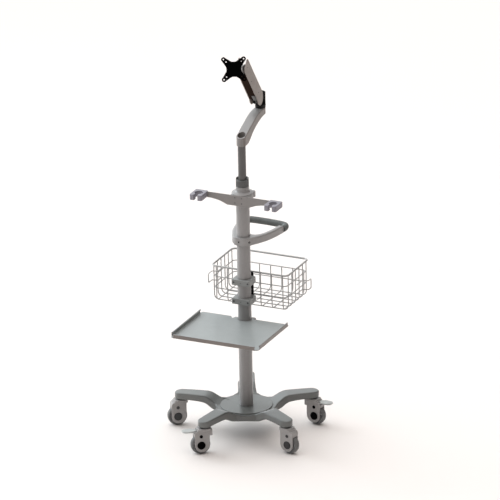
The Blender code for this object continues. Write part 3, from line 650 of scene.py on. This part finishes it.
def build_axle(key, at):
    """The axle and its two caps, and the two small caps that close the fork's brake bore."""
    across = at @ shift(TRAIL, 0, WHEEL_R) @ Matrix.Rotation(math.radians(90), 4, "X")
    look = black_cap if key in BRAKED else cap_plastic
    half = [(CENTRE, 27.3), (12, 27.3), (13, 26.7), (15, 26.7), (16, 28.3), (19.5, 28.3), (20.6, 27.6),
            (21, 26.6), (21, 25.4), (6, 25.4)]
    axle = lathe("axle_caps_" + key, mirrored(half), 64)
    piece(axle, look, "caster_" + key, "dark_plastic", "axle_" + key, at=across)
    caps = []
    for side in (1, -1):
        cap = turned("cap", [(CENTRE, 0), (8.5, 0), (8.5, 2), (CENTRE, 2.6)], [0, 0, 1.2, 0], 40)
        turn = Matrix.Rotation(math.radians(90 * side), 4, "X")
        caps.append(shifted(cap, shift(TRAIL, -side * (FORK_HALF + 0.05), BRAKE_CAP_Z) @ turn))
    piece(merged("brake_caps_" + key, caps), look, "caster_" + key, "dark_plastic", at=at)


def build_wheel(key, at):
    """The wheel's spoked centre and its rubber tread."""
    across = at @ shift(TRAIL, 0, WHEEL_R) @ Matrix.Rotation(math.radians(90), 4, "X")
    core = mirrored([(AXLE_R, 17.5), (14, 17.5), (17, 8), (22, 6.5), (33, 6.5), (36, 12), (40, 14.5)])
    centre = turned("wheel_centre_" + key, core, [0, 1.5, 2, 2, 2, 1, 0, 0, 1, 2, 2, 2, 1.5, 0], 72)
    # The holes' corners stay off the turned mesh's lines, where the cut would leave a fold.
    holes = [prism("hole", arc(rotated((27.5, 0), 60 * i), 3.6, 9, 351, 19), -20, 20) for i in range(6)]
    cut(centre, *holes)
    piece(centre, wheel_plastic, "wheel_" + key, "wheel_plastic", "wheel_" + key, at=across, edge=0.5)
    tread = mirrored([(40.4, 14.5), (42, 15.7), (45.2, 15.9), (47.2, 14), (49, 10.5),
                      (WHEEL_R - 0.15, 5), (WHEEL_R, 1.4)])
    tyre = lathe("tread_" + key, rounded(tread, [0, 1, 2, 2, 3, 4, 0, 0, 4, 3, 2, 2, 1, 0], 3), 96, ring=True)
    piece(tyre, tread_rubber, "wheel_" + key, "tread", "tyre_" + key, at=across)


def build_pedal(key, at):
    """The foot pedal about its pivot: a broad plate with grips, and the barrel that it swings on."""
    brake = spot("brake_" + key)
    pivot = at @ shift((brake - spot("swivel_" + key)).xy.length, 0, brake.z)
    edge = [(-3.5, 14.6), (10, 14.6), (12, 24), (66.7, 24)]
    plan = rounded([(x, -y) for x, y in edge] + edge[::-1], [1, 2, 5, 20, 20, 5, 2, 1], 8)
    plate = prism("plate", plan, 5, 11.5, soft=2, steps=3)
    grips = [block("grip", (x, -15, 10.6), (x + 2.2, 15, 12.2), 0.6) for x in (44, 50, 56)]
    barrel = prism("barrel", circle((0, 0), 4.8, 24), -14.9, 14.9, "Y", soft=0.6)
    web = block("web", (-4.2, -14.4, 0), (4.2, 14.4, 9), 1)
    rib = block("rib", (14, -3, 2), (56, 3, 8), 1)
    pedal = merged("pedal_plate_" + key, [plate, barrel, web, rib, *grips])
    piece(pedal, pedal_plastic, "pedal_" + key, "cover_plastic", "pedal_" + key, at=pivot)


def build_casters():
    for key in CASTERS:
        at = caster_frame(key)
        build_fork(key, at)
        build_axle(key, at)
        build_wheel(key, at)
        if key in BRAKED:
            build_pedal(key, at)


# Column and what is fixed to it.

BORE = COLUMN_R + GAP
COLUMN_WALL = 4.0
BUSH_SEAT_R = 24.1
COLLAR_LOW = 1259.0
COLLAR_HIGH = 1290.0
HEAD_CAP_TOP = 1320.7


def build_column():
    """The column's tube and the head casting on it, with the pad that the cross bar is screwed to."""
    low = box("column_tube")[0].z
    inner = COLUMN_R - COLUMN_WALL
    tube = rectangle((inner, low), (COLUMN_R, COLUMN_TOP))
    piece(turned("column", tube, 0.8, 128), coat, "stand", "light_coat", "column_tube")
    profile = [(20, HEAD_CAP_TOP), (33.4, HEAD_CAP_TOP), (33.4, 1303), (37.5, 1293.5), (55, COLLAR_HIGH),
               (55, COLLAR_LOW), (39.5, COLLAR_LOW), (39.5, 1234), (20, 1234)]
    head = turned("head_casting", profile, [0, 2, 3, 5, 4, 3, 2, 1, 0], 96)
    pad = block("pad", (-48, -49.7, 1235), (48, -18, 1284), 2, 3)
    lug = cylinder("lug", 14, COLLAR_LOW + 1, COLLAR_HIGH, 32, (42, 30), soft=2)
    join(head, pad, lug)
    cut(head, cylinder("seat", BORE, 1200, COLUMN_TOP + GAP, 96),
        cylinder("bush_seat", BUSH_SEAT_R, 1280, 1340, 64))
    piece(head, coat, "stand", "light_coat", "column_head", edge=0.6)


HOLE_R = 21.0    # of a holder's round hole
HOLE_BACK = 43.0
MOUTH_HALF = 9.0


def build_crossbar():
    """The waisted bar across the column's front, its four screws and a holder at each end."""
    low, high = box("cross_bar")
    under = [(60, low.z), (78, 1239), (102, 1248), (138, 1254.5), (high.x, 1256)]
    under = [(50, low.z), *smooth(under, 5)]
    outline = [(-x, z) for x, z in reversed(under)] + under + [(high.x, high.z), (-high.x, high.z)]
    bar = prism("bar_plate", outline, low.y, high.y, "Y", soft=1.3, steps=3)
    screws = [(x, z) for x in (-18, 18) for z in (1246, 1274)]
    cut(bar, *[prism("hole", circle(at, 3.6, 24), low.y - 5, low.y + 3, "Y") for at in screws])
    # The cross bar is white-painted; its darker coat is painted shade.
    piece(bar, painted_shade_coat, "stand", "light_coat", "cross_bar", edge=0.3)
    for i, (x, z) in enumerate(screws):
        socket_screw("bar_screw_%d" % i, 3.3, (x, low.y + 2.4, z), (0, -1, 0))
    for side in ("left", "right"):
        build_holder(side)


def build_holder(side):
    """The open-mouthed ring at one end of the cross bar."""
    low, high = box("holder_" + side)
    x = (low.x + high.x) / 2
    hole_y = high.y - HOLE_BACK
    plan = rounded(rectangle(low, high), [10, 10, 8, 8], 6)
    body = prism("holder_body_" + side, plan, low.z, high.z, soft=3.2, steps=4)
    mouth = [(x - MOUTH_HALF, hole_y), (x - MOUTH_HALF, hole_y - 30), (x - 16, hole_y - 60),
             (x + 16, hole_y - 60), (x + MOUTH_HALF, hole_y - 30), (x + MOUTH_HALF, hole_y)]
    cut(body, cylinder("hole", HOLE_R, low.z - 10, high.z + 10, 72, (x, hole_y)),
        prism("mouth", mouth, low.z - 10, high.z + 10))
    piece(body, holder_plastic, "stand", "holder_plastic", "holder_" + side, edge=1.6)


HANDLE_HALF = 21.0
HANDLE_TURN = -2.5    # degrees that the handle is turned on the column
GRIP_R = 17.0
GRIP_CORE_R = 8.5
GRIP_BORE_R = 9.2
# X, Y, lean in degrees and radius of the screws in the handle's collar.
HANDLE_SCREWS = ((-46, -26, -40, 3.4), (-4, -44.6, 0, 3.4), (46, -26, 40, 5.2))


def handle_frame():
    low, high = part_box("handle_ring")
    return STAND @ shift(z=(low.z + high.z) / 2 / MM) @ Matrix.Rotation(math.radians(HANDLE_TURN), 4, "Z")


def build_handle():
    """The push handle: a clamp ring with two arms, and a soft grip over the bar that joins them."""
    at = handle_frame()
    half = HANDLE_HALF
    outer = [(121, 205), (115, 150), (106, 104), (93, 62), (78, 28), (63, 0), (50, -24), (30, -40), (0, -45)]
    inner = [(94, 205), (88, 150), (79, 106), (66, 68), (47, 43), (20, 38), (0, 37)]
    outline = both_sides(smooth(outer, 5)) + list(reversed(both_sides(smooth(inner, 5))))
    ring = prism("handle_arms", outline, -half, half, soft=9, steps=6)
    collar = block("collar", (-45, -45, -half), (45, 39, half), 3, 30)
    end = (113.5, 207)
    bend = [(115, 232), (107, 252), (90, 262), (56, 266), (0, 268)]
    core = both_sides(smooth([(107, 185), end, *bend], 5))
    core = [(x, y, 0) for x, y in core]
    join(ring, collar, round_bar("core", core, GRIP_CORE_R, 20))
    cut(ring, cylinder("bore", BORE, -40, 40, 96))
    piece(ring, coat, "stand", "light_coat", "handle_ring", at=at)
    sleeve = [(x, y, 0) for x, y in both_sides(smooth([end, *bend], 5))]
    grip = round_bar("grip_sleeve", sleeve, GRIP_R, 32)
    cut(grip, round_bar("lining", core, GRIP_BORE_R, 20))
    piece(grip, grip_rubber, "stand", "grip_rubber", "handle_grip", at=at, edge=1.2)
    for i, (x, y, lean, radius) in enumerate(HANDLE_SCREWS):
        t = math.radians(lean)
        normal = (math.sin(t), -math.cos(t), 0)
        socket_screw("handle_screw_%d" % i, radius, (x, y, 0), normal, at, look=black_cap)


CLAMP_SCREW_X = 38.0
CLAMP_SPLIT = 1.2


def build_clamps():
    """The two split clamps on the column, and the black bracket bar that the basket hangs on."""
    for name in ("clamp_upper", "clamp_lower"):
        low, high = box(name)
        middle = (low.z + high.z) / 2
        plan = rounded(rectangle(low, high), [5, 6, 14, 14], 6)
        body = prism(name + "_body", plan, low.z, high.z, soft=2.6, steps=3)
        cut(body, cylinder("bore", BORE, low.z - 10, high.z + 10, 96),
            *[block("split", (x, -CLAMP_SPLIT, low.z - 10), (x + 40, CLAMP_SPLIT, high.z + 10), 0)
              for x in (-60, 20)],
            *[prism("screw", circle((x, middle), 5.2, 32), -60, low.y + 4, "Y")
              for x in (-CLAMP_SCREW_X, CLAMP_SCREW_X)])
        piece(body, clamp_coat, "stand", "light_coat", name, edge=0.5)
        for side, x, radius, depth in (("left", -CLAMP_SCREW_X, 4.6, 3.0), ("middle", 0, 2.2, 0.2),
                                       ("right", CLAMP_SCREW_X, 4.6, 3.0)):
            socket_screw("%s_screw_%s" % (name, side), radius, (x, low.y + depth, middle), (0, -1, 0))
    low, high = box("basket_bracket")
    front = rounded(rectangle((low.x, low.z), (high.x, high.z)), 5, 5)
    plate = prism("bracket_plate", front, low.y, low.y + 5.6, "Y", soft=0.9, steps=2)
    hooks = [block("hook", (-22, low.y + 4.6, z - 4), (22, high.y, z + 4), 1.2) for z in (716, 780)]
    join(plate, *hooks)
    piece(plate, black_coat, "stand", "black_coat", "basket_bracket", edge=0.4)
    for i, (x, z) in enumerate([(x, z) for x in (-22, 22) for z in (756, 838)]):
        socket_screw("bracket_screw_%d" % i, 3.4, (x, low.y, z), (0, -1, 0))


# Wire basket: rim, two rings, cross wires, long wires and side hooks, welded where they meet.

BASKET_LOW, BASKET_HIGH = box("basket")
WIRE_R = 2.7
RIM_R = 4.8
RING_HIGH = 784.0
RING_LOW = 723.0
BASKET_INSET = 4.0
HOOK_OUT = 30.0
HOOK_DEPTH = 48.0
BASKET_X = 208.0
BASKET_DEPTH = 260.0
RIM_INSET = 3.6
BASKET_BACK = BASKET_HIGH.y - RIM_INSET
BASKET_FRONT = BASKET_BACK - BASKET_DEPTH
BASKET_TOP = BASKET_HIGH.z - RIM_INSET
BASKET_FLOOR = BASKET_LOW.z + 2.3


def ring_path(inset, z, corner):
    """A closed path round the basket's walls, that far inside the rim."""
    low = (-BASKET_X + inset, BASKET_FRONT + inset)
    high = (BASKET_X - inset, BASKET_BACK - inset)
    return [(x, y, z) for x, y in rounded(rectangle(low, high), corner, 10)]


def u_wire(fixed, along, low_end, high_end, far_top):
    """A wire that runs down one wall, across the floor and up the other, to that height."""
    flat = [(low_end + BASKET_INSET - 1, BASKET_TOP), (low_end + BASKET_INSET, BASKET_FLOOR),
            (high_end - BASKET_INSET, BASKET_FLOOR), (high_end - BASKET_INSET + 1, far_top)]
    path = rounded(flat, [0, 26, 26, 0], 8)
    points = [(fixed, p, z) if along == "Y" else (p, fixed, z) for p, z in path]
    return round_bar("wire", points, WIRE_R)


def hook_wire(side, high, root, bend, tip):
    """The bent wire on an end wall, from its height and from Y at its root, its bend and its tip."""
    near = BASKET_X - BASKET_INSET + WIRE_R
    out = near + HOOK_OUT
    knee = bend + 6 * side
    half = [(near, root), (near, bend), (out, knee), (out, tip)]
    path = [(side * x, y, high) for x, y in half]
    path += [(side * x, y, high - HOOK_DEPTH) for x, y in reversed(half)]
    return round_bar("hook", bent(path, 6), WIRE_R * 0.94)


def bent(path, radius, steps=5):
    """A path in space with each inner corner turned into a bend."""
    out = [path[0]]
    for before, here, after in zip(path, path[1:], path[2:]):
        here = Vector(here)
        back = Vector(before) - here
        ahead = Vector(after) - here
        room = min(radius, back.length * 0.49, ahead.length * 0.49)
        first, last = here + back.normalized() * room, here + ahead.normalized() * room
        for k in range(steps + 1):
            t = k / steps
            out.append(tuple(first * (1 - t) ** 2 + here * 2 * t * (1 - t) + last * t ** 2))
    return out + [path[-1]]


def build_basket():
    wires = [round_bar("rim", ring_path(0, BASKET_TOP, 26), RIM_R, 16, cyclic=True)]
    for z in (RING_HIGH, RING_LOW):
        wires.append(round_bar("ring", ring_path(BASKET_INSET + 3.4, z, 24), WIRE_R, cyclic=True))
    wires += [u_wire(-183 + 61 * i, "Y", BASKET_FRONT, BASKET_BACK, RING_HIGH) for i in range(7)]
    wires += [u_wire(BASKET_FRONT + 22 + 43.2 * i, "X", -BASKET_X, BASKET_X, BASKET_TOP) for i in range(6)]
    wires += [hook_wire(1, 755, 182, 248, 286), hook_wire(-1, 785, 171, 131, 84)]
    piece(merged("basket_wires", wires), wire_metal, "stand", "basket_wire", "basket")


TRAY_THICK = 3.0
HEM = 7.0
LIP_ROOT = 14.0


def lip_section(high):
    """Section of a bent lip: out along the plate, up round the bend, and over into a rolled hem."""
    corners = [(LIP_ROOT, -TRAY_THICK), (LIP_ROOT, 0), (TRAY_THICK, 0), (TRAY_THICK, high - HEM),
               (HEM, high - HEM), (HEM, high), (0, high), (0, -TRAY_THICK)]
    return rounded(corners, [0, 0, 3, 0.6, 1.5, 3, 3, 5], 4)


def build_tray():
    """The tray with its three lips and its notches round the column, and the clamp bracket under it."""
    low, high = box("shelf_tray")
    top = low.z + TRAY_THICK
    x = high.x
    plan = rounded(rectangle((low.x + 1, low.y + 1), (x - 1, high.y)), [22, 22, 16, 16], 8)
    plate = prism("tray_plate", plan, top - TRAY_THICK, top, soft=0.9, steps=3)
    cut(plate, cylinder("notch", COLUMN_R + 2, 560, 660, 96),
        prism("notch_left", [(-62, high.y - 24), (-50, high.y + 8), (-86, high.y + 8)], 560, 660))
    lip_high = high.z - top
    lips = []
    for sign in (1, -1):
        side = [(sign * (x - a), b + top) for a, b in lip_section(lip_high)]
        lips.append(prism("lip", side, low.y + 24, high.y - 22, "Y", soft=0.5, steps=2))
    front = [(low.y + a, b + top) for a, b in lip_section(lip_high - 2)]
    lips.append(prism("lip", front, -x + 20, x - 20, "X", soft=0.5, steps=2))
    join(plate, *lips)
    # The tray is white-painted; its lighter, bluer coat is painted light.
    piece(plate, painted_lit_tray_coat, "stand", "light_coat", "shelf_tray", edge=0.3)
    # Painted shade: the front lip and the right lip's outer face take the darker, warmer coat.
    paint_light_and_shade_by_facing(plate, painted_side_shade_coat, lambda normal, at: normal.y < -0.6 or (normal.x > 0.6 and at.x > 0))
    # Painted light: the left lip's inner face takes the lighter coat.
    paint_light_and_shade_by_facing(plate, painted_lip_light_coat, lambda normal, at: normal.x > 0.6 and at.x < -200)
    under = top - TRAY_THICK - GAP
    low, high = box("shelf_bracket")
    bracket = block("shelf_support", (-56, -190, under - 8), (56, -28, under), 1.5, 10)
    rib = [(-28, under - 4), (-28, low.z + 3), (-180, under - 12), (-180, under - 4)]
    ribs = [prism("rib", rib, at - 3, at + 3, "X", soft=0.8) for at in (-27, 27)]
    join(bracket, block("collar", (-47, -29.5, low.z), (47, high.y, under), 3, 12), *ribs)
    cut(bracket, cylinder("bore", BORE, 500, 700, 96),
        block("split", (-CLAMP_SPLIT, 20, 500), (CLAMP_SPLIT, 60, 700), 0))
    piece(bracket, coat, "stand", "light_coat", "shelf_bracket", edge=0.5)
    for i, z in enumerate((low.z + 9, under - 9)):
        socket_screw("collar_screw_%d" % i, 3.6, (36, high.y - 0.3, z), (0, 1, 0))


# Telescopic pole and the arm that it carries.

LOCK_R = 32.5
LOCK_BORE_R = 20.5
LOCK_RIBS = 40
POLE_WALL = 3.0


def build_pole():
    """The ribbed lock ring with its open crown, and the pole's tube."""
    low, high = box("lock_ring")
    rim = high.z - 8
    steps = LOCK_RIBS * 4
    outline = [rotated((LOCK_R if i % 4 < 2 else LOCK_R - 0.8, 0), 360 * i / steps) for i in range(steps)]
    lock = prism("lock_collar", outline, low.z, rim - 6, soft=0.9, steps=2)
    crown = arc((0, 0), 32.2, -8, 200, 40) + arc((0, 0), 25.5, 200, -8, 40)
    lip = turned("lip", rectangle((16, rim - 8), (32.4, rim)), [0, 0, 2, 0], 96)
    join(lock, lip, prism("crown", crown, rim - 4, high.z, soft=1.6, steps=3))
    cut(lock, cylinder("bore", LOCK_BORE_R, 1300, 1400, 72))
    piece(lock, lock_plastic, "lock_ring", "dark_plastic", "lock_ring", edge=0.3)
    low, high = box("inner_pole")
    tube = rectangle((high.x - POLE_WALL, low.z), (high.x, high.z))
    piece(turned("pole_tube", tube, 0.6, 96), pole_metal, "pole", "pole_metal", "inner_pole")


# Y and Z along the curved arm's upper side, from the pole back, and along its lower side, from the knuckle.
CURVE_TOP = 1662.0
CURVE_UPPER = [(-26, 1582), (-10, 1588), (4, 1594), (22, 1602.5), (50, 1616), (82, 1629), (116, 1644),
               (150, 1655), (186, 1661), (212, CURVE_TOP)]
CURVE_LOWER = [(222, 1625), (190, 1620.5), (155, 1611), (122, 1598), (92, 1583), (66, 1565), (44, 1548),
               (30, 1540)]
CUP_R = 20.5
PIN_SEAT_R = 9.5


def build_curved_arm():
    low, high = box("curved_arm")
    side = [(-34, 1579), *smooth(CURVE_UPPER, 4), (270, CURVE_TOP), (270, 1627.6), *smooth(CURVE_LOWER, 4),
            (20, low.z), (-34, low.z)]
    arm = prism("arm_casting", side, low.x, high.x, "X", soft=5, steps=4)
    half = high.x
    plan = arc((0, 0), half, 180, 360, 40) + arc((0, KNUCKLE.y), half, 0, 180, 40)
    combine(arm, "INTERSECT", [prism("plan", plan, 1500, 1700)])
    roof = box("pole_cap")[1].z + 0.4
    cut(arm, cylinder("pole_seat", CUP_R, 1500, roof, 72), cylinder("cup", CUP_R, roof + 5, 1700, 72),
        cylinder("pin_seat", PIN_SEAT_R, 1640, 1700, 40, (0, KNUCKLE.y)))
    # The curved arm is white-painted; its darker coat is painted shade.
    piece(arm, painted_shade_coat, "curved_arm", "light_coat", "curved_arm", edge=0.9)
    # Painted light: the curved arm's upper faces take the lighter white coat.
    paint_light_and_shade_by_facing(arm, coat, lambda normal, at: normal.z > 0.6)
    # Painted shade: the curved arm's flat sides take the darker, warmer coat.
    paint_light_and_shade_by_facing(arm, painted_side_shade_coat, lambda normal, at: abs(normal.x) > 0.7)


LINK_DROP = LIFT.z - spot("link_turn").z
PIN_HOLE_R = 5.4
LINK_HOLE_R = 4.4
CHEEK_INNER = 6.5
CHEEK_OUTER = 12.0
POST_R = 26.5


def cheeks(name, side):
    """Two cheeks with that side view, which the arm's pins go through."""
    return [prism(name, side, a, b, "X", soft=1)
            for a, b in ((-CHEEK_OUTER, -CHEEK_INNER), (CHEEK_INNER, CHEEK_OUTER))]


def pivot_holes(y, z):
    return [prism("pin_hole", circle((y, z), PIN_HOLE_R, 32), -40, 40, "X"),
            prism("link_hole", circle((y, z - LINK_DROP), LINK_HOLE_R, 24), -40, 40, "X")]


def build_knuckle():
    """The swivel post on the curved arm, its tall back wall and the two cheeks that hold the sprung arm."""
    top = CURVE_TOP
    profile = [(CENTRE, top + 18), (POST_R, top + 18), (POST_R, top + GAP), (9, top + GAP), (9, top - 20),
               (CENTRE, top - 20)]
    base = shifted(turned("swivel_post", profile, [0, 3, 1, 0, 1, 0], 72), shift(0, KNUCKLE.y))
    wall = arc((0, KNUCKLE.y), POST_R, 35, 145, 24) + arc((0, KNUCKLE.y), 20, 145, 35, 24)
    side = rounded([(204, 1676), (244, 1676), (244, 1734), (204, LIFT.z + 13), (LIFT.y - 14, LIFT.z + 13),
                    (LIFT.y - 14, 1694), (194, 1694)], [0, 0, 0, 0, 12, 10, 0])
    join(base, prism("wall", wall, 1674, 1742, soft=1), *cheeks("cheek", side))
    cut(base, *pivot_holes(LIFT.y, LIFT.z))
    piece(base, black_coat, "knuckle", "black_coat", "knuckle", edge=0.5)


def along(distance, offset):
    """A point that far up the sprung arm from its lower pivot, and that far to its upper side, as (Y, Z)."""
    start = Vector((LIFT.y, LIFT.z))
    direction = (Vector((HEAD.y, HEAD.z)) - start).normalized()
    return tuple(start + direction * distance + Vector((direction.y, -direction.x)) * offset)


def arm_plate(name, points, low, high, radii, soft):
    """A plate across the sprung arm, with its outline in the arm's own directions."""
    outline = rounded([along(*point) for point in points], radii, 7)
    return prism(name, outline, low, high, "X", soft=soft, steps=3)


COVER_THICK = 4.0
COVER_LOW = -31.5
COVER_HIGH = 33.0
SCREW_SEAT_R = 3.4
SCREW_SEAT_DEPTH = 1.8


def build_spring_arm():
    """The arm's two covers with their screws, the dark panel between them and the block at its foot."""
    length = (HEAD - LIFT).length
    shell = [(-33, -14), (-25, -30), (-2, -37), (22, COVER_LOW), (length + 16, COVER_LOW),
             (length + 34, COVER_HIGH), (8, COVER_HIGH), (-17, 20), (-30, 4)]
    radii = [8, 8, 8, 8, 16, 10, 14, 12, 12]
    wide = box("arm_cover_right")[1].x
    for side, sign in (("right", 1), ("left", -1)):
        low, high = sorted((sign * (wide - COVER_THICK), sign * wide))
        cover = arm_plate("cover_" + side, shell, low, high, radii, 1.6)
        screws = [along(48, 0), along(length - 6, 2), along(length * 0.62, -16)]
        low, high = sorted((sign * (wide - SCREW_SEAT_DEPTH), sign * (wide + 9)))
        cut(cover, *[prism("seat", circle(at, SCREW_SEAT_R, 24), low, high, "X") for at in screws])
        piece(cover, cover_plastic, "spring_arm", "cover_plastic", "arm_cover_" + side, edge=0.3)
        for i, (y, z) in enumerate(screws):
            at = (sign * (wide - SCREW_SEAT_DEPTH + 0.1), y, z)
            socket_screw("cover_screw_%s_%d" % (side, i), 3.0, at, (sign, 0, 0), STAND, "spring_arm")
    front = rectangle((26, -30.6), (length - 26, -28.2))
    panel = arm_plate("arm_front_panel", front, 4.4 - wide, wide - 4.4, 0, 0.5)
    piece(panel, dark_plastic, "spring_arm", "dark_plastic")
    foot = arm_plate("arm_foot_block", rectangle((22, -34), (60, -30.6)), 1, wide - 4.6, 1, 0.8)
    piece(foot, lock_plastic, "spring_arm", "dark_plastic")


BARREL_R = 24.0


def build_head():
    """The arm head: a barrel for the pan bearing, a neck, and two cheeks round the sprung arm's pins."""
    low, high = PAN.z - 41, PAN.z - 16
    barrel = rectangle((CENTRE, low), (BARREL_R, high))
    head = shifted(turned("head_block", barrel, [0, 4, 4, 0], 72), shift(0, PAN.y))
    plan = [(-24, PAN.y), (24, PAN.y), (24, -26), (16, -18), (-16, -18), (-24, -26)]
    plan = rounded(plan, [0, 0, 6, 3, 3, 6])
    foot = HEAD.z - LINK_DROP - 10
    side = [(-30, low + 2), (-10, foot), (HEAD.y + 10, foot), (HEAD.y + 14, HEAD.z + 13),
            (HEAD.y - 12, HEAD.z + 13), (-30, high - 2)]
    side = rounded(side, [0, 0, 8, 12, 12, 0])
    join(head, prism("neck", plan, low + 2, high - 2, soft=1.5), *cheeks("cheek", side))
    cut(head, *pivot_holes(HEAD.y, HEAD.z), cylinder("pan_bore", 6.5, PAN.z - 80, PAN.z, 40, (0, PAN.y)))
    piece(head, coat, "arm_head", "light_coat", "arm_head", edge=0.5)


def tilt_frame():
    """Origin on the tilt axis, +X along it and -Y out of the screen plate."""
    side = Vector(JOINTS["tilt"]["axis"])
    back = -Vector(JOINTS["plate_turn"]["axis"])
    turn = Matrix((side, back, side.cross(back))).transposed().to_4x4()
    return STAND @ shift(*spot("tilt")) @ turn


def build_plate():
    """The cross-shaped screen plate with its slots and holes, and the disc over its centre bolt."""
    corner, lobe, waist, out, thick = 50.0, 11.9, 37.0, 20.0, 4.0
    outline = []
    holes = [circle((0, 0), 5.4, 32)]
    for quarter in range(4):
        turn = 90 * quarter
        outline += [rotated(p, turn) for p in arc((corner, corner), lobe, -52, 142, 18)]
        outline += [rotated(p, turn) for p in arc((0, 70), 70 - waist, -60, -120, 14)]
        holes += [circle(rotated((50.5, 50.5), turn), 3.6, 28), circle(rotated((37.5, 37.5), turn), 3.0, 28)]
    plate = prism("screen_plate", outline, -out - thick, -out, "Y", holes=holes, soft=0.8, steps=2)
    cut(plate, prism("seat", circle((0, 0), 15.3, 64), -out - thick - 5, -out - 2, "Y"))
    piece(plate, plate_coat, "vesa_plate", "black_coat", "vesa_plate", at=tilt_frame())


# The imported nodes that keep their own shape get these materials.

CARRIED = (
    (bright_steel, ("base_bolt", "column_foot", "lower_pin", "upper_pin", "tilt_pin")),
    (screw_steel, ("gas_rod",)),
    (inner_plastic, ("guide_bush", "pole_slider", "pole_cap", "gas_spring")),
    (dark_plastic, ("arm_channel",)),
    (lock_plastic, ("arm_link",)),
    (black_coat, ("pan_yoke", "tilt_block")),
    (plate_coat, ("plate_bolt",)),
)


def finish_carried_nodes():
    for look, names in CARRIED:
        for name in names:
            for slot in frame["nodes"][name].material_slots:
                slot.material = look


# Floor, light and camera.

AZIMUTH = 25.0
ELEVATION = 21.3
ROLL = 1.06
DISTANCE = 60.0
LENS = 864.0
TARGET = AXIS + Vector((28.9, 13.5, 977.1)) * MM
SKY_TOP = 2.6
SKY_POWER = 4.0
SKY_SIDE = 0.04
SKY_GLOW = 2.0
SKY_WARM = (1.0, 0.9, 0.84, 1)
SKY_COOL = (0.9, 0.97, 1.0, 1)
SKY_GLOW_FROM = Vector((*rotated((0, 1), AZIMUTH + 50), 0))
SOFTBOX_AT = Vector((-4.6, 0.6, 2.6))
SOFTBOX_AIM = Vector((0, 0, 0.8))
SOFTBOX_SIDE = 2.6
SOFTBOX_POWER = 70
FLOOR_SIDE = 40.0
FLOOR_COLOUR = (0.84, 0.79, 0.765)


def build_floor():
    bm = bmesh.new()
    bmesh.ops.create_grid(bm, x_segments=20, y_segments=20, size=FLOOR_SIDE)
    floor = from_bmesh("studio_floor", bm)
    bpy.context.scene.collection.objects.link(floor)
    look = Look("studio_floor", FLOOR_COLOUR, 0.9)
    look.tint(look.noise(0.6, 3), (0.83, 0.78, 0.755), 0.5)
    look.emboss(look.noise(60, 3), 0.05, 0.3)
    floor.data.materials.append(look.done())


def build_softbox():
    light = bpy.data.lights.new("left_softbox", "AREA")
    light.size = SOFTBOX_SIDE
    light.energy = SOFTBOX_POWER
    light.color = (0.80, 0.91, 1.0)
    lamp = bpy.data.objects.new("left_softbox", light)
    bpy.context.scene.collection.objects.link(lamp)
    lamp.location = SOFTBOX_AT
    lamp.rotation_euler = (SOFTBOX_AIM - SOFTBOX_AT).to_track_quat("-Z", "Y").to_euler()


def build_light():
    """A white studio, bright above and behind on the left and dim in front, with a softbox on the left."""
    world = bpy.data.worlds.new("studio")
    world.use_nodes = True
    tree = world.node_tree
    background = tree.nodes["Background"]
    direction = node_in(tree, "TexCoord").outputs["Generated"]
    ends = [{0: direction, 1: towards} for towards in (Vector((0, 0, 1)), SKY_GLOW_FROM)]
    up, glow = [node_in(tree, "VectorMath", pair, operation="DOT_PRODUCT").outputs["Value"] for pair in ends]
    strength = SKY_SIDE
    for facing, power, gain in ((up, SKY_POWER, SKY_TOP), (glow, 1.0, SKY_GLOW)):
        lobe = maths(tree, "POWER", maths(tree, "MAXIMUM", facing, 0.0), power)
        strength = maths(tree, "MULTIPLY_ADD", lobe, gain, strength)
    seen = node_in(tree, "LightPath").outputs["Is Camera Ray"]
    tone = mixed(tree, maths(tree, "MULTIPLY_ADD", glow, 0.5, 0.5), SKY_WARM, SKY_COOL)
    feed(tree, background.inputs["Strength"], maths(tree, "MAXIMUM", strength, seen))
    feed(tree, background.inputs["Color"], mixed(tree, seen, tone, (1, 1, 1, 1)))
    bpy.context.scene.world = world
    build_softbox()


def build_camera():
    a, e = math.radians(AZIMUTH), math.radians(ELEVATION)
    back = Vector((math.sin(a) * math.cos(e), -math.cos(a) * math.cos(e), math.sin(e)))
    lens = bpy.data.cameras.new("camera")
    lens.lens = LENS
    lens.sensor_width = 36.0
    lens.clip_end = 200.0
    camera = bpy.data.objects.new("camera", lens)
    bpy.context.scene.collection.objects.link(camera)
    camera.location = TARGET + back * DISTANCE
    camera.rotation_mode = "QUATERNION"
    camera.rotation_quaternion = (-back).to_track_quat("-Z", "Y") @ Quaternion((0, 0, 1), math.radians(-ROLL))
    bpy.context.scene.camera = camera


build_floor()
build_light()
build_camera()
bpy.context.scene.view_settings.view_transform = "Standard"
build_base()
build_casters()
build_column()
build_crossbar()
build_handle()
build_clamps()
build_basket()
build_tray()
build_pole()
build_curved_arm()
build_knuckle()
build_spring_arm()
build_head()
build_plate()
finish_carried_nodes()
